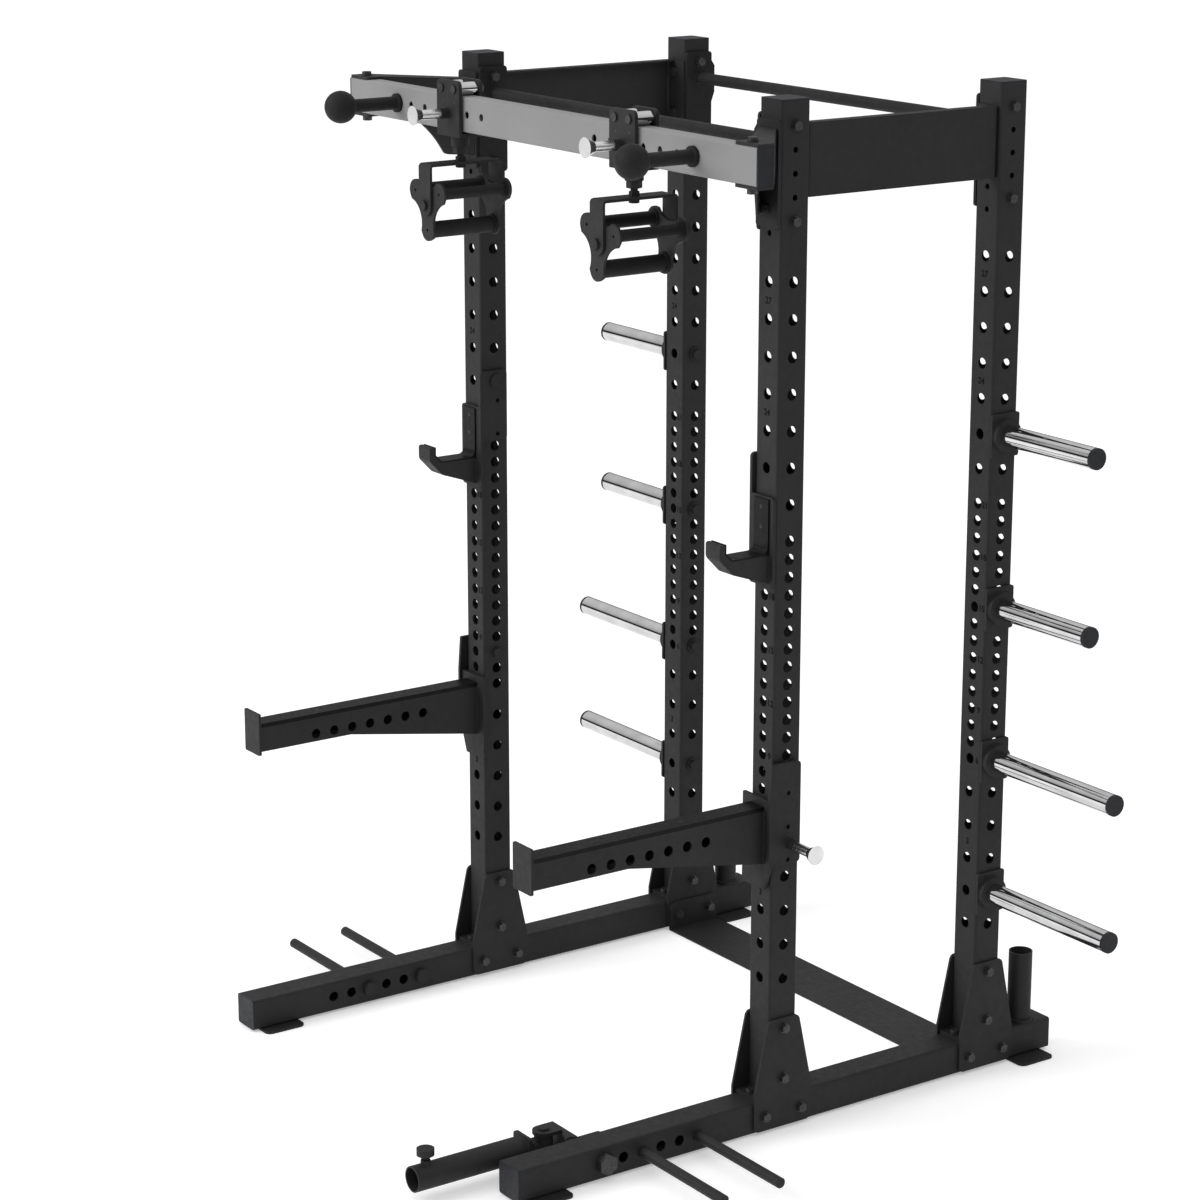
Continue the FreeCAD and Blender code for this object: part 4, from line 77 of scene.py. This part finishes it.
def vary(tree, factor, low, high, socket):
    """Drives a socket from low to high over the range that noise mostly keeps to."""
    spread = tree.nodes.new("ShaderNodeMapRange")
    spread.inputs["From Min"].default_value = NOISE_LOW
    spread.inputs["From Max"].default_value = NOISE_HIGH
    tree.links.new(factor, spread.inputs["Value"])
    if socket.type == "RGBA":
        mix = tree.nodes.new("ShaderNodeMix")
        mix.data_type = "RGBA"
        mix.inputs["A"].default_value = (*low, 1)
        mix.inputs["B"].default_value = (*high, 1)
        tree.links.new(spread.outputs["Result"], mix.inputs["Factor"])
        tree.links.new(mix.outputs["Result"], socket)
        return
    spread.inputs["To Min"].default_value = low
    spread.inputs["To Max"].default_value = high
    tree.links.new(spread.outputs["Result"], socket)


def raise_grain(tree, shader, heights, strength, depth):
    """Bumps the surface by the sum of the given heights."""
    total = heights[0]
    for height in heights[1:]:
        add = tree.nodes.new("ShaderNodeMath")
        tree.links.new(total, add.inputs[0])
        tree.links.new(height, add.inputs[1])
        total = add.outputs["Value"]
    bump = tree.nodes.new("ShaderNodeBump")
    bump.inputs["Strength"].default_value = strength
    bump.inputs["Distance"].default_value = depth
    tree.links.new(total, bump.inputs["Height"])
    tree.links.new(bump.outputs["Normal"], shader.inputs["Normal"])


def powder_coat(name, dark, light, roughness=0.6, grain=0.35, shine=0.24):
    """Baked powder: a fine pebbled skin over a slow change of tone."""
    material, tree, shader, place = new_material(name, light, roughness)
    pebbles = [noise(tree, place, 900, detail=3), noise(tree, place, 260, detail=1)]
    vary(tree, noise(tree, place, 5), dark, light, shader.inputs["Base Color"])
    vary(tree, noise(tree, place, 60), roughness - 0.06, roughness + 0.06, shader.inputs["Roughness"])
    raise_grain(tree, shader, pebbles, grain, 0.15 * MM)
    shader.inputs["Specular IOR Level"].default_value = shine
    return material


def moulded_plastic(name, dark, light, roughness, shine=0.28):
    """Moulded plastic: a soft leathery grain and slightly uneven gloss."""
    material, tree, shader, place = new_material(name, light, roughness)
    vary(tree, noise(tree, place, 40, detail=4), dark, light, shader.inputs["Base Color"])
    vary(tree, noise(tree, place, 120), roughness - 0.08, roughness + 0.08, shader.inputs["Roughness"])
    raise_grain(tree, shader, [noise(tree, place, 1400, detail=4)], 0.3, 0.1 * MM)
    shader.inputs["Specular IOR Level"].default_value = shine
    return material


def polished_metal(name, dark, light, smooth, rough, stretch):
    """Plated or turned metal: bright, with fine lines drawn round or along the piece."""
    material, tree, shader, place = new_material(name, light, smooth, metallic=1.0)
    lines = noise(tree, place, 700, detail=3, stretch=stretch)
    vary(tree, noise(tree, place, 18), dark, light, shader.inputs["Base Color"])
    vary(tree, lines, smooth, rough, shader.inputs["Roughness"])
    raise_grain(tree, shader, [lines], 0.04, 0.02 * MM)
    return material


def oxide_steel(name, dark, light):
    """Black oxide on bolts: darker metal with a soft sheen and small stains."""
    material, tree, shader, place = new_material(name, light, 0.4, metallic=0.6)
    vary(tree, noise(tree, place, 160, detail=4), dark, light, shader.inputs["Base Color"])
    vary(tree, noise(tree, place, 420), 0.32, 0.5, shader.inputs["Roughness"])
    raise_grain(tree, shader, [noise(tree, place, 1800)], 0.2, 0.05 * MM)
    return material


BLACK = powder_coat("black_powder_coat", (0.017, 0.017, 0.0175), (0.022, 0.022, 0.0226))
GRIP = powder_coat("grip_black", (0.012, 0.012, 0.0125), (0.017, 0.017, 0.0175),
                   roughness=0.66, grain=0.8, shine=0.2)
GREY = powder_coat("grey_powder_coat", (0.255, 0.255, 0.255), (0.278, 0.278, 0.278), roughness=0.55)
PLASTIC = moulded_plastic("black_plastic", (0.016, 0.0165, 0.02), (0.022, 0.0225, 0.027),
                          roughness=0.5, shine=0.2)
LINER = moulded_plastic("liner_plastic", (0.005, 0.005, 0.0053), (0.008, 0.008, 0.0085),
                        roughness=0.4, shine=0.1)
BOLTS = oxide_steel("black_bolts", (0.035, 0.035, 0.036), (0.07, 0.07, 0.072))
CHROME = polished_metal("chrome", (0.5, 0.5, 0.505), (0.62, 0.62, 0.625),
                        smooth=0.04, rough=0.1, stretch=(0.05, 1, 1))
HANDLES = polished_metal("pin_handles", (0.6, 0.6, 0.6), (0.74, 0.74, 0.74),
                         smooth=0.12, rough=0.3, stretch=(1, 1, 1))
PAINT = moulded_plastic("number_paint", (0.002, 0.002, 0.002), (0.004, 0.004, 0.004),
                        roughness=0.7, shine=0.08)
MATERIALS = {
    "black_powder_coat": BLACK,
    "grip_black": GRIP,
    "grey_powder_coat": GREY,
    "black_plastic": PLASTIC,
    "liner_plastic": LINER,
    "black_bolts": BOLTS,
    "chrome": CHROME,
    "pin_handles": HANDLES,
}

for entry in frame["record"]["subparts"]:
    node = nodes[entry["node"]]
    node.data.materials.clear()
    node.data.materials.append(MATERIALS[entry["material_slot"]])


def finished(name, piece_mesh, body):
    """A finished piece at the origin that rides on a body."""
    piece = bpy.data.objects.new(name, piece_mesh)
    bpy.context.scene.collection.objects.link(piece)
    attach(piece, body)
    return piece


# Places, in metres: the uprights stand POST_Y ahead of and behind MIDDLE_Y, and ahead is along -Y
MIDDLE_Y = 0.33675
POST_X = 0.581
POST_Y = 0.3
POST_HALF = 0.0375
INNER = POST_X - POST_HALF
OUTER = POST_X + POST_HALF
FRONT_Y = MIDDLE_Y - POST_Y - POST_HALF

# The uprights' rows of holes: from hole CLOSE_START on, CLOSE_GAPS gaps are half as wide
HOLE_FIRST = 0.3605
HOLE_COUNT = 27
WIDE_PITCH = 0.08
CLOSE_PITCH = 0.04
CLOSE_START = 6
CLOSE_GAPS = 15


def hole_height(number):
    """Height of a numbered hole, with the stretch of close holes counted."""
    close = min(max(number - CLOSE_START, 0), CLOSE_GAPS)
    return HOLE_FIRST + WIDE_PITCH * (number - 1 - close) + CLOSE_PITCH * close


# Hole numbers: every third hole, on the front faces of the uprights
NUMBER_EVERY = 3
NUMBER_HIGH = 0.0145
NUMBER_PROUD = 0.0002
NUMBER_FAT = 0.0005
CAPITAL_SHARE = 0.7
BESIDE_HOLE = 0.0245
ABOVE_HOLE = 0.04


def number_mesh(text, place):
    """A number that stands on a face that looks along -Y, as a thin mesh."""
    curve = bpy.data.curves.new("number", "FONT")
    curve.body = text
    curve.size = NUMBER_HIGH / CAPITAL_SHARE
    curve.align_x = "CENTER"
    curve.align_y = "CENTER"
    curve.extrude = NUMBER_PROUD
    curve.offset = NUMBER_FAT
    curve.resolution_u = 3
    holder = bpy.data.objects.new("number", curve)
    mesh = bpy.data.meshes.new_from_object(holder)
    mesh.transform(Matrix.Translation(place) @ Matrix.Rotation(radians(90), 4, "X"))
    bpy.data.objects.remove(holder)
    bpy.data.curves.remove(curve)
    return mesh


def joined(name, meshes, material):
    """One mesh of several, with one material."""
    shape = bmesh.new()
    for mesh in meshes:
        shape.from_mesh(mesh)
        bpy.data.meshes.remove(mesh)
    whole = bpy.data.meshes.new(name)
    shape.to_mesh(whole)
    shape.free()
    whole.materials.clear()
    whole.materials.append(material)
    return whole


numbers = []
for side, sign in SIDES:
    for end in (-1, 1):
        for number in range(NUMBER_EVERY, HOLE_COUNT + 1, NUMBER_EVERY):
            wide = number < CLOSE_START or number > CLOSE_START + CLOSE_GAPS
            across = sign * POST_X + (0 if wide else BESIDE_HOLE)
            height = hole_height(number) + (ABOVE_HOLE if wide else 0)
            place = (across, MIDDLE_Y + end * POST_Y - POST_HALF, height)
            numbers.append(number_mesh(str(number), place))
finished("hole_numbers", joined("hole_numbers", numbers, PAINT), "frame")


# Weld beads: rows of small drops along the seams
BEAD = 0.0024
BEAD_SCALES = (0.86, 1.08)
BEAD_SEED = 7
RING_STEPS = 30
ALONG_X, ALONG_Y, ALONG_Z = range(3)


def ring(centre, axis, radius):
    """Points of a closed circle about an axis."""
    first, second = [k for k in range(3) if k != axis]
    points = []
    for step in range(RING_STEPS + 1):
        angle = radians(360 * step / RING_STEPS)
        point = list(centre)
        point[first] += radius * cos(angle)
        point[second] += radius * sin(angle)
        points.append(tuple(point))
    return points


def square(x, y, half, height):
    """The corners of a level square, closed."""
    corners = ((1, 1), (-1, 1), (-1, -1), (1, -1), (1, 1))
    return [(x + a * half, y + b * half, height) for a, b in corners]


def path_object(name, paths):
    """Seams as an object of edges."""
    mesh = bpy.data.meshes.new(name)
    points, edges = [], []
    for path in paths:
        edges += [(len(points) + k, len(points) + k + 1) for k in range(len(path) - 1)]
        points += path
    mesh.from_pydata(points, edges, [])
    return bpy.data.objects.new(name, mesh)


def interface(tree, *inputs):
    """Names a node group's inputs and its one output."""
    tree.interface.new_socket("Geometry", in_out="INPUT", socket_type="NodeSocketGeometry")
    for name, kind in inputs:
        tree.interface.new_socket(name, in_out="INPUT", socket_type=kind)
    tree.interface.new_socket("Geometry", in_out="OUTPUT", socket_type="NodeSocketGeometry")
    return tree.nodes.new("NodeGroupInput"), tree.nodes.new("NodeGroupOutput")


def bead_group():
    """Drops at an even step along every edge path, each a little different."""
    tree = bpy.data.node_groups.new("weld_beads", "GeometryNodeTree")
    given, result = interface(tree, ("Step", "NodeSocketFloat"), ("Size", "NodeSocketFloat"),
                              ("Material", "NodeSocketMaterial"))
    to_curve = tree.nodes.new("GeometryNodeMeshToCurve")
    resample = tree.nodes.new("GeometryNodeResampleCurve")
    resample.mode = "LENGTH"
    drop = tree.nodes.new("GeometryNodeMeshIcoSphere")
    drop.inputs["Subdivisions"].default_value = 2
    spread = tree.nodes.new("FunctionNodeRandomValue")
    spread.data_type = "FLOAT"
    spread.inputs[2].default_value = BEAD_SCALES[0]
    spread.inputs[3].default_value = BEAD_SCALES[1]
    spread.inputs["Seed"].default_value = BEAD_SEED
    place = tree.nodes.new("GeometryNodeInstanceOnPoints")
    realize = tree.nodes.new("GeometryNodeRealizeInstances")
    paint = tree.nodes.new("GeometryNodeSetMaterial")
    links = tree.links
    links.new(given.outputs["Geometry"], to_curve.inputs["Mesh"])
    links.new(to_curve.outputs["Curve"], resample.inputs["Curve"])
    links.new(given.outputs["Step"], resample.inputs["Length"])
    links.new(given.outputs["Size"], drop.inputs["Radius"])
    links.new(resample.outputs["Curve"], place.inputs["Points"])
    links.new(drop.outputs["Mesh"], place.inputs["Instance"])
    links.new(spread.outputs[1], place.inputs["Scale"])
    links.new(place.outputs["Instances"], realize.inputs["Geometry"])
    links.new(realize.outputs["Geometry"], paint.inputs["Geometry"])
    links.new(given.outputs["Material"], paint.inputs["Material"])
    links.new(paint.outputs["Geometry"], result.inputs["Geometry"])
    return tree


def grown(name, carrier, tree, settings, body):
    """Runs a node group on a carrier object, keeps the result as one mesh, and lets it ride."""
    bpy.context.scene.collection.objects.link(carrier)
    modifier = carrier.modifiers.new("grow", "NODES")
    modifier.node_group = tree
    for item in tree.interface.items_tree:
        if item.item_type == "SOCKET" and item.in_out == "INPUT" and item.name in settings:
            modifier[item.identifier] = settings[item.name]
    carrier.update_tag()
    bpy.context.view_layer.update()
    graph = bpy.context.evaluated_depsgraph_get()
    mesh = bpy.data.meshes.new_from_object(carrier.evaluated_get(graph), depsgraph=graph)
    mesh.name = name
    bpy.data.objects.remove(carrier)
    return finished(name, mesh, body)


# Places of the seams: names in HIGH are heights, and those in AHEAD or BEHIND count from MIDDLE_Y
FOOT_HIGH = 0.088
PULL_PLATE_THICK = 0.008
PULL_BAR_HIGH = 2.21
PULL_BAR_RADIUS = 0.014
HOLDER_BEHIND = 0.44
HOLDER_HIGH = 0.086
HOLDER_RADIUS = 0.028
PEG_HOLES = (23, 15, 6, 2)
PEG_PLATE_THICK = 0.006
PEG_COLLAR_RADIUS = 0.0375
BEAM_AHEAD = 0.516
BEAM_HIGH = 2.199
GLOBE_AHEAD = 0.543
GLOBE_SHAFT_RADIUS = 0.0155
CARRIAGE_X = 0.343
CARRIAGE_AHEAD = 0.548
BARREL_RADIUS = 0.012
HUB_HIGH = 2.146
HUB_RADIUS = 0.0205
LANDMINE_SEAM = (0.468, MIDDLE_Y - 0.899, 0.05)
LANDMINE_RADIUS = 0.029
# Beam arms: across from the upright's middle, out from its front face, lowest and highest place
ARM_SEAMS = ((-0.0225, 0.013, 2.16, 2.238), (0.028, 0.008, 2.16, 2.238), (-0.028, 0.008, 2.068, 2.158))
# J-cups: out from the upright's front face, half the width, lowest and highest place
CUP_OUT = 0.0085
CUP_HALF = 0.025
CUP_SEAM_HIGH = (1.274, 1.33)
# Spotter arms: the holes of the fixed pin and the pull pin, the arm's depth below the fixed pin at
# the upright, and how far the pull pin's plate reaches out from the upright's outer face
SPOT_PIN_HOLE = 8
SPOT_PULL_HOLE = 5
SPOT_DEPTH = 0.205
SPOT_PLATE_OUT = 0.015
seams = {"frame": []}
for side, sign in SIDES:
    x = sign * POST_X
    for end in (-1, 1):
        y = MIDDLE_Y + end * POST_Y
        seams["frame"].append(square(x, y, POST_HALF, FOOT_HIGH))
        place = (sign * (INNER - PULL_PLATE_THICK), y, PULL_BAR_HIGH)
        seams["frame"].append(ring(place, ALONG_X, PULL_BAR_RADIUS))
    seams["frame"].append(ring((x, MIDDLE_Y + HOLDER_BEHIND, HOLDER_HIGH), ALONG_Z, HOLDER_RADIUS))
    for number in PEG_HOLES:
        place = (sign * (OUTER + PEG_PLATE_THICK), MIDDLE_Y + POST_Y, hole_height(number))
        seams["frame"].append(ring(place, ALONG_X, PEG_COLLAR_RADIUS))
    seams["frame"].append(ring((x, MIDDLE_Y - GLOBE_AHEAD, BEAM_HIGH), ALONG_Y, GLOBE_SHAFT_RADIUS))
    for across, out, low, high in ARM_SEAMS:
        place = (sign * (POST_X + across), FRONT_Y - out)
        seams["frame"].append([(*place, low), (*place, high)])
    cup_y = FRONT_Y - CUP_OUT
    seams[f"cup_{side}"] = [
        [(x + step, cup_y, height) for height in CUP_SEAM_HIGH] for step in (-CUP_HALF, CUP_HALF)
    ]
    strip_low, strip_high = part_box(f"spotter_strip_{side}")
    spot_y = strip_high[1]
    low, high = hole_height(SPOT_PIN_HOLE) - SPOT_DEPTH, strip_low[2]
    place = (sign * (OUTER + SPOT_PLATE_OUT), MIDDLE_Y - POST_Y, hole_height(SPOT_PULL_HOLE))
    seams[f"spotter_{side}"] = [
        [(strip_low[0], spot_y, high), (strip_low[0], spot_y, low),
         (strip_high[0], spot_y, low), (strip_high[0], spot_y, high)],
        ring(place, ALONG_X, BARREL_RADIUS),
    ]
    seams[f"carriage_{side}"] = [
        ring((sign * CARRIAGE_X, MIDDLE_Y - CARRIAGE_AHEAD, BEAM_HIGH), ALONG_Y, BARREL_RADIUS),
        ring((sign * CARRIAGE_X, MIDDLE_Y - BEAM_AHEAD, HUB_HIGH), ALONG_Z, HUB_RADIUS),
    ]
seams["landmine_sleeve"] = [ring(LANDMINE_SEAM, ALONG_Y, LANDMINE_RADIUS)]
beads = bead_group()
for body, paths in seams.items():
    grown(f"weld_beads_{body}", path_object(f"seams_{body}", paths), beads,
          {"Step": BEAD, "Size": BEAD, "Material": BLACK}, body)


# Countersunk screws that hold the plastic strips and liners
RIM_SIDES = 24
SOCKET_SIDES = 6
# Height, radius and corners of a head's loops, from its rim to the bottom of its socket
HEAD_LOOPS = ((0.0, 0.0042, RIM_SIDES), (0.0004, 0.0040, RIM_SIDES),
              (0.0004, 0.0024, SOCKET_SIDES), (-0.0016, 0.0022, SOCKET_SIDES))


def screw_head():
    """A flat head with a hexagon socket, looking up, its rim at the origin's height."""
    shape = bmesh.new()
    loops = []
    for height, radius, count in HEAD_LOOPS:
        angles = [2 * pi * k / count for k in range(count)]
        corners = [(radius * cos(angle), radius * sin(angle), height) for angle in angles]
        loops.append([shape.verts.new(corner) for corner in corners])
    for k in range(RIM_SIDES):
        after = (k + 1) % RIM_SIDES
        shape.faces.new((loops[0][k], loops[0][after], loops[1][after], loops[1][k]))
    share = RIM_SIDES // SOCKET_SIDES
    for k in range(SOCKET_SIDES):
        after = (k + 1) % SOCKET_SIDES
        fan = [loops[1][(share * k + step) % RIM_SIDES] for step in range(share + 1)]
        shape.faces.new(fan + [loops[2][after], loops[2][k]])
        shape.faces.new((loops[2][k], loops[2][after], loops[3][after], loops[3][k]))
    shape.faces.new(loops[3])
    bmesh.ops.recalc_face_normals(shape, faces=shape.faces)
    mesh = bpy.data.meshes.new("screw_head")
    shape.to_mesh(mesh)
    shape.free()
    return bpy.data.objects.new("screw_head", mesh)


def screw_group():
    """One screw at every vertex, turned so that it looks along the vertex's direction."""
    tree = bpy.data.node_groups.new("screws", "GeometryNodeTree")
    given, result = interface(tree, ("Screw", "NodeSocketObject"), ("Material", "NodeSocketMaterial"))
    info = tree.nodes.new("GeometryNodeObjectInfo")
    facing = tree.nodes.new("GeometryNodeInputNamedAttribute")
    facing.data_type = "FLOAT_VECTOR"
    facing.inputs["Name"].default_value = "facing"
    align = tree.nodes.new("FunctionNodeAlignRotationToVector")
    align.axis = "Z"
    place = tree.nodes.new("GeometryNodeInstanceOnPoints")
    realize = tree.nodes.new("GeometryNodeRealizeInstances")
    paint = tree.nodes.new("GeometryNodeSetMaterial")
    links = tree.links
    links.new(given.outputs["Screw"], info.inputs["Object"])
    links.new(given.outputs["Geometry"], place.inputs["Points"])
    links.new(info.outputs["Geometry"], place.inputs["Instance"])
    links.new(facing.outputs["Attribute"], align.inputs["Vector"])
    links.new(align.outputs["Rotation"], place.inputs["Rotation"])
    links.new(place.outputs["Instances"], realize.inputs["Geometry"])
    links.new(realize.outputs["Geometry"], paint.inputs["Geometry"])
    links.new(given.outputs["Material"], paint.inputs["Material"])
    links.new(paint.outputs["Geometry"], result.inputs["Geometry"])
    return tree


def point_object(name, spots):
    """Vertices that each keep a direction."""
    mesh = bpy.data.meshes.new(name)
    mesh.from_pydata([spot for spot, direction in spots], [], [])
    facing = mesh.attributes.new("facing", "FLOAT_VECTOR", "POINT")
    for k, (spot, direction) in enumerate(spots):
        facing.data[k].vector = direction
    return bpy.data.objects.new(name, mesh)


# Screws of a strip as shares of its length, and those of a liner down from its top
STRIP_SCREWS = (0.28, 0.66)
LINER_SCREWS = (0.018, 0.062)
LINER_THICK = 0.004
UP = (0, 0, 1)
AHEAD = (0, -1, 0)
head = screw_head()
bpy.context.scene.collection.objects.link(head)
screws = screw_group()
for side, sign in SIDES:
    low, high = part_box(f"spotter_strip_{side}")
    middle = (low[0] + high[0]) / 2
    spots = [((middle, low[1] + share * (high[1] - low[1]), high[2]), UP) for share in STRIP_SCREWS]
    grown(f"strip_screws_{side}", point_object(f"strip_spots_{side}", spots), screws,
          {"Screw": head, "Material": BOLTS}, f"spotter_{side}")
    low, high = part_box(f"j_cup_liner_{side}")
    spots = [((middle, high[1] - LINER_THICK, high[2] - drop), AHEAD) for drop in LINER_SCREWS]
    grown(f"liner_screws_{side}", point_object(f"liner_spots_{side}", spots), screws,
          {"Screw": head, "Material": BOLTS}, f"cup_{side}")
bpy.data.objects.remove(head)


# Floor, light and camera
FLOOR_HALF = 70
FLOOR_PLACE = (-20, 20, -0.0003)
FLOOR_GLOW = 0.34
# Height and brightness of the sky's stops
SKY = ((0.0, 0.02), (0.17, 0.03), (0.27, 0.6), (0.5, 0.78), (1.0, 1.0))
KEY_PLACE = (-4, -9, 6.5)
KEY_AIM = (0, 0, 1.1)
KEY_SIDE = 6
KEY_POWER = 600
CAMERA_PLACE = (6.0224, -4.5334 + MIDDLE_Y, 3.0784)
AZIMUTH = radians(55.321)
DOWN = radians(15.089)
LENS = 98.91


def floor_material():
    """Pale seamless floor, barely uneven, that looks lit up to the eye and in reflections only."""
    material, tree, shader, place = new_material("pale_floor", (0.86, 0.86, 0.86), 0.75)
    vary(tree, noise(tree, place, 0.8), (0.85, 0.85, 0.85), (0.87, 0.87, 0.87), shader.inputs["Base Color"])
    raise_grain(tree, shader, [noise(tree, place, 300)], 0.05, 0.05 * MM)
    shader.inputs["Specular IOR Level"].default_value = 0.2
    rays = tree.nodes.new("ShaderNodeLightPath")
    seen = None
    for kind in ("Is Camera Ray", "Is Glossy Ray", "Is Transmission Ray"):
        share = tree.nodes.new("ShaderNodeMath")
        share.operation = "MULTIPLY_ADD"
        share.inputs[1].default_value = FLOOR_GLOW
        share.inputs[2].default_value = 0
        tree.links.new(rays.outputs[kind], share.inputs[0])
        if seen:
            tree.links.new(seen, share.inputs[2])
        seen = share.outputs["Value"]
    shader.inputs["Emission Color"].default_value = (1, 1, 1, 1)
    tree.links.new(seen, shader.inputs["Emission Strength"])
    return material


def make_floor():
    """A wide square just below the part, as a stage."""
    shape = bmesh.new()
    bmesh.ops.create_grid(shape, x_segments=8, y_segments=8, size=FLOOR_HALF)
    mesh = bpy.data.meshes.new("floor")
    shape.to_mesh(mesh)
    shape.free()
    mesh.materials.append(floor_material())
    floor = bpy.data.objects.new("floor", mesh)
    floor.location = FLOOR_PLACE
    bpy.context.scene.collection.objects.link(floor)


def make_sky():
    """Light that falls from overhead, dark at the horizon, behind a backdrop that looks white to the eye."""
    world = bpy.data.worlds.new("studio")
    world.use_nodes = True
    tree = world.node_tree
    background = tree.nodes["Background"]
    place = tree.nodes.new("ShaderNodeTexCoord")
    split = tree.nodes.new("ShaderNodeSeparateXYZ")
    ramp = tree.nodes.new("ShaderNodeValToRGB")
    tree.links.new(place.outputs["Generated"], split.inputs["Vector"])
    tree.links.new(split.outputs["Z"], ramp.inputs["Fac"])
    rays = tree.nodes.new("ShaderNodeLightPath")
    backdrop = tree.nodes.new("ShaderNodeMix")
    backdrop.data_type = "RGBA"
    backdrop.inputs["B"].default_value = (1, 1, 1, 1)
    tree.links.new(rays.outputs["Is Camera Ray"], backdrop.inputs["Factor"])
    tree.links.new(ramp.outputs["Color"], backdrop.inputs["A"])
    tree.links.new(backdrop.outputs["Result"], background.inputs["Color"])
    stops = ramp.color_ramp.elements
    stops[0].position, stops[0].color = SKY[0][0], (*[SKY[0][1]] * 3, 1)
    stops[1].position, stops[1].color = SKY[-1][0], (*[SKY[-1][1]] * 3, 1)
    for height, bright in SKY[1:-1]:
        stops.new(height).color = (*[bright] * 3, 1)
    bpy.context.scene.world = world


def area_light(name, place, aim, side, power):
    """A large soft lamp that looks at a point."""
    data = bpy.data.lights.new(name, "AREA")
    data.shape = "SQUARE"
    data.size = side
    data.energy = power
    lamp = bpy.data.objects.new(name, data)
    lamp.location = place
    lamp.rotation_euler = (Vector(aim) - Vector(place)).to_track_quat("-Z", "Y").to_euler()
    bpy.context.scene.collection.objects.link(lamp)


make_floor()
make_sky()
area_light("key", KEY_PLACE, KEY_AIM, KEY_SIDE, KEY_POWER)

camera = bpy.data.objects.new("camera", bpy.data.cameras.new("camera"))
camera.data.sensor_width = 36
camera.data.lens = LENS
camera.data.clip_end = 400
camera.location = CAMERA_PLACE
looks = Vector((-sin(AZIMUTH) * cos(DOWN), cos(AZIMUTH) * cos(DOWN), -sin(DOWN)))
camera.rotation_euler = looks.to_track_quat("-Z", "Y").to_euler()
bpy.context.scene.collection.objects.link(camera)
bpy.context.scene.camera = camera
bpy.context.scene.view_settings.view_transform = "Standard"
